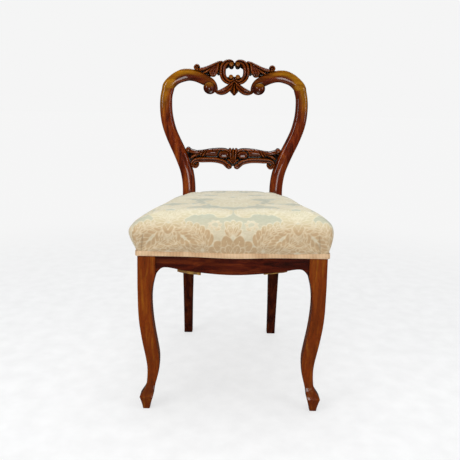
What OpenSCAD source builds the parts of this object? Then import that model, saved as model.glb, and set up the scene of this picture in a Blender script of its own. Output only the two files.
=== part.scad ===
// Balloon back dining chair, in millimetres, +Z up, front towards -Y.
// The back feet and stiles are one piece each, and the crest rail closes the hoop on two dowels.

/* [Overall size] */

// Height from the floor to the top of the carved crest
total_height = 878; // [840:1:910]
// Width across the outer faces of the two front leg posts
front_width = 446; // [426:2:466]
// Depth from the front leg posts' front faces to the stiles' front faces at the seat
seat_depth = 392; // [372:2:412]
// Width across the outer edges of the hoop back at its widest
hoop_width = 446; // [434:2:458]
// Width across the outer faces of the back legs at the seat
back_width = 300; // [290:2:310]

/* [Back legs and hoop] */

// How far the back feet stand behind the stiles' front faces at the seat
foot_rake = 87; // [60:1:110]
// How far the hoop leans back from the seat to its joints with the crest rail
hoop_rake = 58.4; // [50:0.2:66]
// Depth of the back leg at the seat rails, from front to back
leg_depth = 36; // [32:1:40]
// Width of the back leg at the seat rails, seen from the front
leg_width = 37; // [34:0.5:40]
// Thickness of the hoop where the crest rail joins it
hoop_thickness = 28; // [25:1:31]

/* [Crest rail] */

// Height of the carved crest, from the lowest leaf to the top of its scrolls
crest_height = 110.5; // [98:0.5:118]
// Diameter of the dowels between the stiles and the crest rail
dowel_diameter = 10; // [8:0.5:12]

/* [Cross rail] */

// Height of the carved cross rail, from its lowest volute to its palmette
cross_height = 68.5; // [60:0.5:74]
// Height of the top of the cross rail's palmette above the seat rails
cross_rise = 189; // [177:0.5:201]
// Thickness of the carved cross rail
cross_thickness = 22; // [18:1:25]

/* [Front legs] */

// Height of the front leg, up to the top of the seat rails
post_height = 425; // [415:1:435]
// Side of the square post at the top of the front leg
post_size = 42; // [38:1:46]
// How far the front feet are set back behind the curve that the leg shows from the front
foot_setback = 8; // [0:1:14]
// Width of the softening along the front leg's edges
edge_softening = 1.6; // [0.8:0.1:3]

/* [Seat rails] */

// Thickness of the seat rails
rail_thickness = 22; // [19:1:25]
// Height of the side rails and the back rail
rail_height = 75; // [68:1:84]
// Height of the front rail at its centre
front_rail_height = 74.6; // [68:0.2:84]
// How far the front rail's face bows forward at its centre
front_bow = 17; // [8:1:22]
// Height of the upper part of the rails that the upholstery covers
covered_height = 33; // [28:1:38]

/* [Upholstery] */

// Height of the seat's crown above the rails
crown_rise = 76; // [66:1:88]
// How far the cover bulges out over the rails
side_bulge = 13; // [8:0.5:18]
// Height above the rails at which the cover bulges out most
bulge_rise = 16; // [10:1:24]
// Thickness of the damask cover with its lining
cover_thickness = 2; // [1.5:0.1:3]
// Height of the ribbed braid glued along the cover's lower edge
braid_height = 12; // [9:0.5:14]

/* [Springing] */

// Width of the jute webbing straps
strap_width = 56; // [50:1:60]
// Distance between the centres of neighbouring lengthwise straps
strap_pitch = 102; // [96:1:108]
// Distance between the same straps where they reach the back rail
rear_strap_pitch = 80; // [72:1:84]
// Height of a coil spring between the webbing and the canvas
spring_height = 84; // [76:1:88]
// Diameter of a coil spring at its two ends
spring_diameter = 72; // [60:2:80]
// Number of turns in each coil spring
spring_turns = 3.5; // [3:0.5:5]

/* [Hidden] */

half_front = front_width / 2;
half_hoop = hoop_width / 2;
half_back = back_width / 2;

// heights of the seat frame, down from the top of the front legs
rail_low = post_height - rail_height;
front_low = post_height - front_rail_height;
show_line = post_height - covered_height;
back_height = total_height - post_height;

// joinery
tenon_thickness = 10;
tenon_depth = 14;
tenon_drop = 12;
tenon_height = 51;
tenon_high = post_height - tenon_drop;
tenon_low = tenon_high - tenon_height;
front_tenon_depth = 18;
rail_setback = 8;
rear_rail_setback = 4;
side_front_inset = 1.5;
mortise_spare = 1;
glue_gap = 0.05;
dowel_length = 50;
cross_tenon_height = 24;
cross_setback = 3;
cut_over = 30;

// corner blocks and their screws
block_height = 40;
block_high = post_height - tenon_drop;
block_low = block_high - block_height;
block_front_run = 41;
block_side_run = 43;
block_rear_run = 33;
block_rear_side_run = 42;
screw_diameter = 4;
screw_head_diameter = 8.4;
screw_head_height = 3;
screw_pocket_diameter = 9;
screw_into_rail = 14;
screw_inset = 11;
screw_low = block_low + screw_inset;
screw_high = block_high - screw_inset;
screw_flat = 13;
slot_width = 1;
slot_depth = 1.2;

// upholstery
hem_out = 3;
hem_gap = 1;
hem_low = show_line + hem_gap;
hem_radius = 5;
stile_clearance = 0.3;
layer_gap = 0.3;
canvas_thickness = 1.5;
braid_thickness = 2;

// webbing and springs
strap_thickness = 2;
strap_tail = 9;
strap_nail_margin = 4;
weave_gap = 0.2;
strap_nail_gap = 0.5;
strap_slope = 28;
strap_columns = 4;
spring_wire = 3.2;

// shares have no unit: they are multiplied by the named lengths above.
// back leg below the rails: height, outer edge, width, rake, depth, roundness of the face
back_foot_shares = [
    [0, 0.9867, 0.7027, 1, 0.75, 0.12], [0.1714, 0.984, 0.7243, 0.7759, 0.7917, 0.12],
    [0.3429, 0.984, 0.7622, 0.5517, 0.8333, 0.12], [0.5286, 0.9867, 0.8216, 0.3506, 0.8889, 0.12],
    [0.7143, 0.992, 0.8973, 0.1839, 0.9444, 0.1], [0.8857, 0.998, 0.9757, 0.0402, 0.9861, 0.05],
    [0.9657, 1, 1, 0, 1, 0], [0.9943, 1, 1, 0, 1, 0]
];
// stile above the rails: height, reach from the seat's width to the hoop's, width, lean,
// loss of depth, roundness of the face
stile_shares = [
    [0.0066, 0, 1, 0, 0, 0], [0.0464, 0, 1, 0, 0, 0.15], [0.0993, 0.0027, 1.0054, 0.0274, 0.1, 0.6],
    [0.1479, 0.0123, 1.0189, 0.0651, 0.2, 1], [0.1987, 0.0466, 1.0324, 0.1062, 0.3, 1],
    [0.2539, 0.1233, 1.0595, 0.1541, 0.375, 1], [0.3091, 0.2548, 1.0811, 0.226, 0.45, 1],
    [0.3642, 0.4082, 1.1243, 0.3116, 0.525, 1], [0.4194, 0.5753, 1.1297, 0.3973, 0.6, 1],
    [0.4746, 0.7288, 1.0973, 0.4829, 0.675, 1], [0.5298, 0.8548, 1.0541, 0.5685, 0.75, 1],
    [0.585, 0.9411, 1.0297, 0.6541, 0.8, 1], [0.6402, 0.9863, 0.9946, 0.7397, 0.85, 1],
    [0.6976, 1, 0.9784, 0.8288, 0.9, 1], [0.7506, 0.9808, 0.9622, 0.911, 0.95, 1],
    [0.7991, 0.9315, 1.0054, 0.9863, 1, 1]
];
// where the hoop's even lean starts and where it is measured, and how much of it is reached at its start
lean_start_share = 0.2539;
lean_end_share = 0.7991;
lean_offset_share = 0.1541;
// place of the joints with the crest rail, down the crest's height
joint_share = 0.8235;

// front leg, seen from the front and from the side alike: height, outer edge, inner edge
leg_shares = [
    [0, 0.319, 0.6667], [0.0171, 0.3, 0.6857], [0.0343, 0.2714, 0.7095], [0.0571, 0.2095, 0.7524],
    [0.0771, 0.1238, 0.7952], [0.0943, 0.0833, 0.8286], [0.1214, 0.1524, 0.8762],
    [0.1486, 0.2548, 0.9333], [0.1771, 0.3476, 0.9857], [0.2171, 0.4381, 1.0476],
    [0.2514, 0.481, 1.0857], [0.2914, 0.4857, 1.1167], [0.3371, 0.4571, 1.1333],
    [0.3914, 0.3952, 1.119], [0.48, 0.2762, 1.019], [0.5657, 0.1714, 0.9143],
    [0.6514, 0.0857, 0.8333], [0.7371, 0.0381, 0.7857], [0.8114, 0.0143, 0.7762],
    [0.8743, 0.0048, 0.8095], [0.92, 0, 0.8714], [0.9543, 0, 0.9429], [0.9857, 0, 1], [1.0057, 0, 1]
];

// front rail's lower edge, from the centre outwards: reach, drop below the show line
edge_shares = [
    [0, 1], [0.221, 0.9952], [0.4144, 0.976], [0.5746, 0.9279], [0.674, 0.851], [0.7514, 0.7692],
    [0.8122, 0.7115], [0.8508, 0.6923], [0.884, 0.7404], [0.9116, 0.8317], [0.9337, 0.9615],
    [0.9525, 1.1154], [0.9702, 1.2548], [0.989, 1.351], [1, 1.3798]
];

// crest: reach from the centre, drop from the top, width
// arm of the hoop over the shoulder and into its volute: its outer edge and its inner edge
arm_shares = [
    [0.9722, 0.7466, 0.7919, 0.7783], [0.957, 0.6697, 0.7686, 0.7294],
    [0.9309, 0.5937, 0.7435, 0.6878], [0.896, 0.5195, 0.7175, 0.6534],
    [0.8538, 0.4471, 0.6906, 0.6262], [0.8045, 0.3765, 0.6619, 0.6027],
    [0.7471, 0.3167, 0.6341, 0.5864], [0.6834, 0.2787, 0.6054, 0.5774],
    [0.6143, 0.2715, 0.5785, 0.5774], [0.5471, 0.2878, 0.5498, 0.5846],
    [0.4843, 0.3312, 0.5202, 0.6009], [0.4278, 0.3855, 0.4888, 0.6262],
    [0.3749, 0.438, 0.4556, 0.6643], [0.322, 0.4941, 0.4143, 0.7113],
    [0.2771, 0.5683, 0.3498, 0.733], [0.2457, 0.657, 0.296, 0.7421],
    [0.2287, 0.7548, 0.2646, 0.7692], [0.2251, 0.8452, 0.2529, 0.8326],
    [0.2377, 0.9195, 0.2583, 0.8869]
];

// C scroll beside the crest's central opening
scroll_shares = [
    [0.0202, 0.0869, 0.0452], [0.0426, 0.067, 0.0769], [0.0807, 0.0579, 0.1176],
    [0.1193, 0.0851, 0.1493], [0.1462, 0.1575, 0.1629], [0.1561, 0.2624, 0.1647],
    [0.1543, 0.3747, 0.1629], [0.1372, 0.476, 0.1575], [0.1076, 0.5557, 0.1448],
    [0.07, 0.6027, 0.1267], [0.0341, 0.6027, 0.095], [0.0143, 0.5538, 0.0633],
    [0.0197, 0.5032, 0.0362]
];

// acanthus lobes of the crest, each from its root to its tip, with the height of its relief
leaf_shares = [
    [[0.1749, 0.1068, 0.0489, 0.93], [0.2242, 0.1195, 0.0851, 1.05], [0.287, 0.1701, 0.0941, 1.09],
        [0.3543, 0.2226, 0.0851, 1.07], [0.417, 0.2588, 0.0715, 1.03], [0.4664, 0.257, 0.0534, 1.09],
        [0.4933, 0.2281, 0.0362, 1.15]],
    [[0.4484, 0.267, 0.0507, 0.92], [0.4888, 0.2742, 0.0688, 0.96], [0.5247, 0.2561, 0.0507, 0.98],
        [0.5493, 0.2452, 0.0181, 0.94]],
    [[0.1839, 0.1412, 0.0471, 0.92], [0.2422, 0.1919, 0.0742, 1.06], [0.3049, 0.2588, 0.0833, 1.1],
        [0.3677, 0.3276, 0.0787, 1.06], [0.4126, 0.3855, 0.0597, 1.02], [0.435, 0.4253, 0.0271, 1.08]],
    [[0.1928, 0.1738, 0.0425, 0.89], [0.2422, 0.2462, 0.0742, 1.03], [0.296, 0.3095, 0.0742, 1.07],
        [0.3363, 0.3548, 0.0516, 1.03], [0.3587, 0.3783, 0.0271, 1.07]],
    [[0.191, 0.1466, 0.0606, 0.85], [0.2135, 0.2462, 0.1113, 1.05], [0.243, 0.3421, 0.133, 1.11],
        [0.2717, 0.4235, 0.1113, 1.09], [0.2852, 0.4851, 0.0516, 1.15]],
    [[0.1865, 0.1955, 0.0362, 0.78], [0.2018, 0.286, 0.067, 0.9], [0.2197, 0.3729, 0.067, 0.94],
        [0.2359, 0.4344, 0.0317, 0.98]],
    [[0.0067, 0.6163, 0.0425, 0.96], [0.0448, 0.6715, 0.0878, 1.06], [0.0915, 0.7511, 0.1149, 1.12],
        [0.1435, 0.8253, 0.1204, 1.12], [0.1973, 0.8796, 0.0968, 1.06], [0.2377, 0.9068, 0.0516, 0.98]],
    [[0.0565, 0.8145, 0.0362, 0.8], [0.0879, 0.8905, 0.0733, 0.94], [0.1345, 0.9376, 0.1059, 1],
        [0.1857, 0.943, 0.0842, 0.96], [0.2287, 0.9213, 0.0362, 0.9]],
    [[0.0135, 0.705, 0.0271, 0.8], [0.0314, 0.7955, 0.0588, 0.92], [0.043, 0.8805, 0.0679, 0.96],
        [0.0314, 0.9439, 0.0362, 0.96]]
];

// bud between the swag leaves
bud_shares = [
    [0, 0.679, 0.031, 0.84], [0, 0.751, 0.054, 0.98], [0, 0.836, 0.081, 1.06],
    [0, 0.918, 0.085, 1.08], [0, 0.999, 0.018, 1.06]
];

// ground behind the acanthus wing
wing_shares = [
    [0.1525, 0.0543], [0.2332, 0.0905], [0.3004, 0.1629], [0.3767, 0.2353], [0.4529, 0.2534],
    [0.5291, 0.2443], [0.5291, 0.2896], [0.4439, 0.2896], [0.426, 0.4072], [0.3767, 0.3566],
    [0.3453, 0.362], [0.2825, 0.4615], [0.2556, 0.4434], [0.2287, 0.4163], [0.1839, 0.2715]
];

// cross rail: reach from the centre, height from its lowest point, width
band_shares = [
    [0.8122, 0.2161, 0.1314], [0.7639, 0.3197, 0.1752], [0.6988, 0.3839, 0.2044],
    [0.6073, 0.4248, 0.2131], [0.4903, 0.4365, 0.2131], [0.3585, 0.4131, 0.2102],
    [0.2459, 0.3606, 0.1985], [0.1537, 0.2905, 0.1752], [0.0966, 0.2058, 0.1226]
];

rail_leaf_shares = [
    [[0.322, 0.8832, 0.0803, 0.93], [0.3951, 0.8657, 0.1387, 1.03], [0.4829, 0.8131, 0.1533, 1.07],
        [0.5781, 0.7489, 0.1387, 1.05], [0.6732, 0.6934, 0.1007, 1.01], [0.7537, 0.6613, 0.0438, 1.05]],
    [[0.3366, 0.7226, 0.0934, 0.82], [0.4171, 0.6934, 0.1664, 0.96], [0.5049, 0.6409, 0.1664, 0.98],
        [0.5927, 0.6, 0.1226, 0.94], [0.6659, 0.5825, 0.0496, 0.98]],
    [[0.9951, 0.8672, 0.1139, 1.01], [0.9293, 0.8088, 0.1197, 1.01], [0.8488, 0.7562, 0.1139, 1.03],
        [0.7683, 0.7299, 0.0905, 0.99], [0.6951, 0.7416, 0.0496, 0.97]],
    [[0.9659, 0.6569, 0.1182, 0.91], [0.8927, 0.6482, 0.1416, 0.99], [0.8122, 0.6248, 0.1182, 0.99],
        [0.739, 0.5781, 0.0526, 0.95]],
    [[0.9842, 0.781, 0.1299, 0.9], [0.9483, 0.5912, 0.1883, 1], [0.9044, 0.3869, 0.1883, 1.02],
        [0.8561, 0.2117, 0.1591, 0.98]],
    [[0.022, 0.4131, 0.0438, 0.87], [0.0468, 0.5883, 0.0891, 0.97], [0.0702, 0.7489, 0.1095, 1.03],
        [0.0907, 0.8861, 0.0584, 1.05]],
    [[0.0176, 0.3416, 0.0584, 0.9], [0.0468, 0.438, 0.0832, 0.98], [0.0834, 0.5022, 0.0584, 0.9]]
];

// middle lobe of the palmette
palmette_shares = [
    [0, 0.413, 0.044, 0.86], [0, 0.574, 0.088, 0.98], [0, 0.749, 0.126, 1.06],
    [0, 0.88, 0.117, 1.06], [0, 0.971, 0.058, 1.04]
];

// ground of the cross rail
slab_shares = [
    [0.0732, 0.9036], [0.1244, 0.9095], [0.2195, 0.9416], [0.3439, 0.9416], [0.4244, 0.9182],
    [0.5342, 0.8745], [0.6483, 0.8073], [0.761, 0.7839], [0.8634, 0.8102], [0.922, 0.8891],
    [0.9659, 0.9533], [1.0244, 0.9533], [1.1561, 0.9533], [1.1561, 0.3985], [0.9366, 0.0891],
    [0.8195, 0.0774], [0.7756, 0.1796], [0.7244, 0.238], [0.6439, 0.3022], [0.502, 0.3343],
    [0.3439, 0.3109], [0.2298, 0.2584], [0.1581, 0.2], [0.1171, 0.1066], [0.0659, 0.0628]
];

// sections, from the left of the run to its right: place across, height of the relief
round_section_shares = [[0, 0], [0, 0.55], [0.2, 0.92], [0.5, 1], [0.8, 0.92], [1, 0.55], [1, 0]];
lobe_section_shares = [[0, 0], [0, 0.62], [0.2, 0.85], [0.5, 1], [0.8, 0.85], [1, 0.62], [1, 0]];
scroll_section_shares = [[0, 0], [0, 0.68], [0.1, 0.92], [0.28, 1], [0.5, 0.76], [0.76, 0.95], [0.94, 0.8],
    [1, 0.55], [1, 0]];
reed_section_shares = [[0, 0], [0, 0.76], [0.12, 0.97], [0.3, 1], [0.44, 0.84], [0.68, 0.96], [0.92, 0.9],
    [1, 0.72], [1, 0]];
// leg sections seen from above: place across, place from front to back
square_leg_shares = [[0, 0.1], [0.02, 0.02], [0.1, 0], [0.3, 0], [0.5, 0], [0.7, 0], [0.9, 0], [0.98, 0.02],
    [1, 0.1], [1, 0.9], [0.93, 1], [0.07, 1], [0, 0.9]];
round_leg_shares = [[0, 0.42], [0.03, 0.24], [0.12, 0.1], [0.28, 0.025], [0.5, 0], [0.72, 0.025],
    [0.88, 0.1],
    [0.97, 0.24], [1, 0.42], [1, 0.82], [0.9, 0.98], [0.1, 0.98], [0, 0.82]];
// depths of the crosswise straps, and each spring's lengthwise strap and depth, as shares of the seat's depth
cross_strap_shares = [0.2857, 0.5408, 0.7959];
spring_place_shares = [[-1, 0.31], [1, 0.31], [0, 0.5408], [-1, 0.76], [1, 0.76]];
// seat outline stations along the front, along the side and across the back, from 0 to 1
front_station_shares = [0, 0.15, 0.3, 0.45, 0.6, 0.76, 0.94];
side_station_shares = [0, 0.5, 0.8, 0.95];
back_station_shares = [0.97, 0.5];
// cover profile: height from the hem to the bulge or above it to the dome, bulge
cover_low_shares = [[0, 0], [0.24, 0], [0.42, 0.4], [0.7, 0.82], [1, 1]];
cover_high_shares = [[0.4, 0.86], [0.8, 0.36]];
// dome: how far in towards the middle, height from its start to the crown
dome_shares = [[0.02, 0], [0.07, 0.33], [0.15, 0.58], [0.28, 0.8], [0.46, 0.93], [0.7, 0.985], [0.96, 1]];
// rows of the dome that its lining and the stuffing follow
inner_dome_rows = [0, 1, 2, 3, 4, 6];

// how far the cross rail's carving laps over the stile's rounded inner edge
stile_lap_share = 0.09;

// arithmetic helpers
function mix(a, b, t) = a + (b - a) * t;
function cut(v, low, high) = min(max(v, low), high);

// smooth run of rows through a table of rows, by a Catmull-Rom curve with steps between neighbours
function row_at(rows, i) = rows[cut(i, 0, len(rows) - 1)];
function between(a, b, c, d, t) =
    (b * 2 + (c - a) * t + (a * 2 - b * 5 + c * 4 - d) * t * t + (b * 3 - a - c * 3 + d) * t * t * t) / 2;
function smooth(rows, steps) = concat(
    [for (i = [0 : len(rows) - 2], k = [0 : steps - 1])
        between(row_at(rows, i - 1), rows[i], rows[i + 1], row_at(rows, i + 2), k / steps)],
    [rows[len(rows) - 1]]);

// value of column c in a table keyed by its first column
function key_index(rows, key, i = 0) = i >= len(rows) - 2 || key < rows[i + 1][0] ? i : key_index(rows,
    key, i + 1);
function look(rows, key, c) = let (i = key_index(rows, key), a = rows[i], b = rows[i + 1])
    mix(a[c], b[c], cut((key - a[0]) / (b[0] - a[0]), 0, 1));

// direction of a run of points at point i, as a unit vector
function heading(points, i) = let (a = row_at(points, i - 1), b = row_at(points, i + 1),
    d = [b[0] - a[0], b[1] - a[1]])
    d / norm(d);

// closed body through rings of points, all with the same count
module skin(rings) {
    count = len(rings[0]);
    last = len(rings) - 1;
    faces = concat(
        [[for (j = [0 : count - 1]) j]],
        [[for (j = [count - 1 : -1 : 0]) last * count + j]],
        [for (i = [0 : last - 1], j = [0 : count - 1]) let (k = (j + 1) % count)
            each [[i * count + j, (i + 1) * count + j, (i + 1) * count + k],
                [i * count + j, (i + 1) * count + k, i * count + k]]]);
    polyhedron(points = [for (r = rings) each r], faces = faces);
}

// closed sheet between an upper and a lower grid of points; rows run towards +Y and columns towards +X
module ribbon(upper, lower) {
    rows = len(upper);
    cols = len(upper[0]);
    low = rows * cols;
    rim = concat([for (j = [0 : cols - 1]) j], [for (i = [1 : rows - 1]) i * cols + cols - 1],
        [for (j = [cols - 2 : -1 : 0]) (rows - 1) * cols + j], [for (i = [rows - 2 : -1 : 1]) i * cols]);
    faces = concat(
        [for (i = [0 : rows - 2], j = [0 : cols - 2]) let (a = i * cols + j, b = a + cols)
            each [[a, b, b + 1], [a, b + 1, a + 1]]],
        [for (i = [0 : rows - 2], j = [0 : cols - 2]) let (a = low + i * cols + j, b = a + cols)
            each [[a, b + 1, b], [a, a + 1, b + 1]]],
        [for (i = [0 : len(rim) - 1]) let (a = rim[i], b = rim[(i + 1) % len(rim)])
            each [[a, b, low + b], [a, low + b, low + a]]]);
    polyhedron(points = concat([for (r = upper) each r], [for (r = lower) each r]), faces = faces);
}

// the part stands with the middle of its depth over the origin
foot_depth = leg_depth * back_foot_shares[0][4];
part_back = seat_depth + foot_rake + foot_depth;
function bow(x) = abs(x) < bow_half ? pow(cos(90 * x / bow_half), 2) : 0;
bow_half = half_front * 0.55;
hem_bow = front_bow * 0.6;
part_front = -hem_out - hem_bow - side_bulge;
middle = (part_back + part_front) / 2;
module placed() translate([0, -middle, 0]) children();
module mirrored() mirror([1, 0, 0]) children();
module both_sides() {
    children();
    mirrored() children();
}

// front surface of the hoop above the seat: an even lean backwards
function hoop_y(z) = seat_depth + hoop_rake * mix(lean_offset_share, 1,
    ((z - post_height) / back_height - lean_start_share) / (lean_end_share - lean_start_share));
back_lean = (hoop_y(total_height) - hoop_y(0)) / total_height;
joint_height = total_height - crest_height * joint_share;

// back legs

stile_rows = concat(
    [for (r = back_foot_shares) let (outer = r[1] * half_back)
        [r[0] * rail_low, outer, outer - r[2] * leg_width, seat_depth + r[3] * foot_rake,
            r[4] * leg_depth, r[5]]],
    [for (r = stile_shares) let (outer = mix(half_back, half_hoop, r[1]))
        [post_height + r[0] * back_height, outer, outer - r[2] * leg_width, seat_depth + r[3] * hoop_rake,
            mix(leg_depth, hoop_thickness, r[4]), r[5]]]);
joint_rows = [for (r = stile_rows) if (r[0] < joint_height - edge_softening) r];
joint_end = [joint_height, look(stile_rows, joint_height, 1), look(stile_rows, joint_height, 2),
    hoop_y(joint_height), hoop_thickness, 1];

function leg_section(r) = [for (i = [0 : len(square_leg_shares) - 1])
    let (s = mix(square_leg_shares[i], round_leg_shares[i], r[5]))
    [mix(r[2], r[1], s[0]), r[3] + r[4] * s[1], r[0]]];

module stile_form() skin([for (r = concat(joint_rows, [joint_end])) leg_section(r)]);

stile_inner = look(stile_rows, tenon_low, 2);
stile_outer = look(stile_rows, tenon_low, 1);
joint_x = (joint_end[1] + joint_end[2]) / 2;
joint_y = joint_end[3] + hoop_thickness / 2;

module side_tenon_at(y, length, x) translate([x - tenon_thickness / 2, y, tenon_low])
    cube([tenon_thickness, length, tenon_high - tenon_low]);

module back_leg() {
    difference() {
        stile_form();
        // mortise for the side rail
        side_tenon_at(seat_depth - cut_over, tenon_depth + mortise_spare + cut_over, side_rear_x);
        // mortise for the back rail
        translate([stile_inner - cut_over, rear_rail_tenon_y, tenon_low])
            cube([cut_over + tenon_depth + mortise_spare, tenon_thickness, tenon_high - tenon_low]);
        // mortise for the carved cross rail
        cross_tenon(cross_tenon_reach + mortise_spare);
        // socket for the crest rail's dowel
        translate([joint_x, joint_y, joint_height - dowel_length / 2 - mortise_spare])
            cylinder(d = dowel_diameter + 2 * glue_gap, h = dowel_length, $fn = 16);
    }
}

module back_leg_left() color([0.36, 0.14, 0.06]) placed() mirrored() back_leg();
module back_leg_right() color([0.36, 0.14, 0.06]) placed() back_leg();

// carved bands in the plane of the back: x, z, width; relief runs forward from the ground

// one ring across a run, with the relief from back to front in y
function band_ring(points, i, w, front, back, section) = let (h = heading(points, i), p = points[i])
    [for (s = section) let (a = (s[0] - 0.5) * w, x = p[0] + a * h[1], z = p[1] - a * h[0])
        [x, mix(back, front, s[1]), z]];

// run of a band; rows are x, z, width and, if relief is given in them, the share of the front's height
module band(rows, steps, front, back, section) {
    points = smooth(rows, steps);
    skin([for (i = [0 : len(points) - 1])
        band_ring(points, i, points[i][2], len(points[i]) > 3 ? mix(back, front, points[i][3]) : front,
            back, section)]);
}

// round boss standing forward from the ground
boss_profile_shares = [[0, 0], [1, 0], [1, 0.64], [0.88, 0.84], [0.54, 0.97], [0, 1]];
module boss(x, z, radius, front, back) translate([x, back, z]) rotate([90, 0, 0])
    rotate_extrude($fn = 12) polygon([for (s = boss_profile_shares) [s[0] * radius,
        s[1] * (back - front)]]);

// ground plate in the plane of the back
module plate(points, front, back) translate([0, back, 0]) rotate([90, 0, 0])
    linear_extrude(back - front) polygon(points);

// leans flat carving back with the hoop
module leaning() multmatrix([[1, 0, 0, 0], [0, 1, back_lean, hoop_y(0)], [0, 0, 1, 0],
    [0, 0, 0, 1]]) children();

// crest rail

function crest_rows(shares) = [for (r = shares) concat([r[0] * half_hoop,
    total_height - r[1] * crest_height],
    [r[2] * crest_height], len(r) > 3 ? [r[3]] : [])];
crest_ground = hoop_thickness * 0.85;
crest_eye = crest_height * 0.059;
crest_disc = crest_height * 0.1069;
volute_radius = crest_height * 0.1751;

// the arm starts on the stile's own section and swings into the band of the hoop:
// outer edge x and z, inner edge x and z
arm_rows = concat([[joint_end[1], joint_height, joint_end[2], joint_height]],
    [for (r = arm_shares) [r[0] * half_hoop, total_height - r[1] * crest_height, r[2] * half_hoop,
        total_height - r[3] * crest_height]]);
module hoop_arm() skin([for (r = arm_rows)
    [for (s = round_leg_shares) [mix(r[2], r[0], s[0]), s[1] * hoop_thickness, mix(r[3], r[1], s[0])]]]);

module crest_carving() {
    hoop_arm();
    // volute ball at the arm's end
    boss(half_hoop * 0.3208, total_height - crest_height * 0.7832, volute_radius,
        -hoop_thickness * 0.2, hoop_thickness);
    // C scroll with an eye at either end
    band(crest_rows(scroll_shares), 2, -hoop_thickness * 0.05, crest_ground, scroll_section_shares);
    boss(half_hoop * 0.0373, total_height - crest_height * 0.1753, crest_disc, hoop_thickness * 0.22,
        crest_ground);
    boss(half_hoop * 0.0358, total_height - crest_height * 0.1326, crest_eye, -hoop_thickness * 0.12,
        crest_ground);
    boss(half_hoop * 0.0381, total_height - crest_height * 0.4706, crest_eye, -hoop_thickness * 0.08,
        crest_ground);
    // acanthus wing, swag leaf and bud over their grounds
    plate(crest_ground_points(wing_shares), hoop_thickness * 0.3, crest_ground);
    for (leaf = leaf_shares) band(crest_rows(leaf), 1, 0, crest_ground, lobe_section_shares);
}
function crest_ground_points(shares) = [for (r = shares) [r[0] * half_hoop,
    total_height - r[1] * crest_height]];

// block between the two scrolls' lower eyes, where the leaves spring from
heart_shares = [[-0.0353, 0.4299], [0.0353, 0.4299], [0.0656, 0.5928], [0.0454, 0.7149], [0, 0.8575],
    [-0.0454, 0.7149], [-0.0656, 0.5928]];
module crest_heart() plate(crest_ground_points(heart_shares), hoop_thickness * 0.3, crest_ground);

module crest_rail() color([0.4, 0.16, 0.07]) placed() difference() {
    resize([2 * joint_end[1], 0, 0]) leaning() {
        both_sides() crest_carving();
        crest_heart();
        band(crest_rows(bud_shares), 1, 0, crest_ground, lobe_section_shares);
    }
    both_sides() translate([joint_x, joint_y, joint_height - cut_over])
        cylinder(d = dowel_diameter + 2 * glue_gap, h = dowel_length / 2 + mortise_spare + cut_over,
            $fn = 16);
}

module crest_dowels() color([0.72, 0.52, 0.3]) placed() both_sides()
    translate([joint_x, joint_y, joint_height - dowel_length / 2])
    cylinder(d = dowel_diameter, h = dowel_length, $fn = 16);

// carved cross rail

cross_top = post_height + cross_rise;
cross_low = cross_top - cross_height;
cross_tenon_centre = cross_low + cross_height * 0.5912;
cross_span = look(stile_rows, cross_tenon_centre, 2);
cross_tenon_reach = cross_span + tenon_depth + mortise_spare;
cross_front = cross_setback;
cross_back = cross_setback + cross_thickness;
cross_ground = cross_front + cross_thickness * 0.32;
cross_boss = cross_height * 0.1412;
ring_x = cross_span * 0.2077;
ring_z = cross_low + cross_height * 0.6742;
function cross_rows(shares) = [for (r = shares) concat([r[0] * cross_span, cross_low + r[1] * cross_height],
    [r[2] * cross_height], len(r) > 3 ? [r[3]] : [])];

module cross_tenon(reach) translate([0, hoop_y(cross_tenon_centre) + cross_setback + cross_thickness * 0.3,
    cross_tenon_centre - cross_tenon_height / 2]) cube([reach, tenon_thickness, cross_tenon_height]);

slab_half = [for (r = slab_shares) [r[0] * cross_span, cross_low + r[1] * cross_height]];
module cross_slab() plate(concat(slab_half, [for (i = [len(slab_half) - 1 : -1 : 0]) [-slab_half[i][0],
    slab_half[i][1]]]),
    cross_ground, cross_back);

module cross_carving() {
    // reeded band over the lower arcs, and the volutes at both its ends
    band(cross_rows(band_shares), 2, cross_front, cross_back, reed_section_shares);
    boss(cross_span * 0.8269, cross_low + cross_height * 0.1375, cross_boss, cross_front, cross_back);
    boss(cross_span * 0.0731, cross_low + cross_height * 0.1704, cross_boss, cross_front, cross_back);
    // ring with its boss beside the palmette
    band([for (i = [0 : 10]) let (a = 130 - i * 31, r = cross_height * (0.2307 - 0.0019 * i))
        [ring_x - r * cos(a), ring_z + r * sin(a), cross_height * (0.0942 - 0.0038 * i)]], 1, cross_front,
        cross_back, round_section_shares);
    boss(ring_x, ring_z, cross_boss, cross_front + cross_setback * 0.3, cross_back);
    // curl at the top of each end
    boss(cross_span * 0.9817, cross_low + cross_height * 0.8766, cross_height * 0.1224, cross_front,
        cross_back);
    for (leaf = rail_leaf_shares) band(cross_rows(leaf), 1, cross_front, cross_back, lobe_section_shares);
}

module cross_rail() color([0.38, 0.15, 0.07]) placed() resize([2 * cross_tenon_reach, 0, 0]) {
    difference() {
        leaning() {
            cross_slab();
            both_sides() cross_carving();
            band(cross_rows(palmette_shares), 1, cross_front, cross_back, lobe_section_shares);
        }
        both_sides() stile_form();
        both_sides() outside_stile();
    }
    both_sides() cross_tenon(cross_tenon_reach);
}

// everything beyond the rounded inner edge of the stile, so that the carving ends there
module outside_stile() skin([for (r = stile_rows) if (r[0] > cross_low - cut_over && r[0] < cross_top
    + cut_over)
    let (x = mix(r[2], r[1], stile_lap_share))
    [[x, r[3] - cut_over, r[0]], [x + cut_over * 3, r[3] - cut_over, r[0]],
        [x + cut_over * 3, r[3] + cut_over * 3, r[0]], [x, r[3] + cut_over * 3, r[0]]]]);

// front legs

leg_rows = concat([for (r = leg_shares) [r[0] * rail_low, r[1] * post_size, r[2] * post_size]],
    [[post_height, 0, post_size]]);

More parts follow.
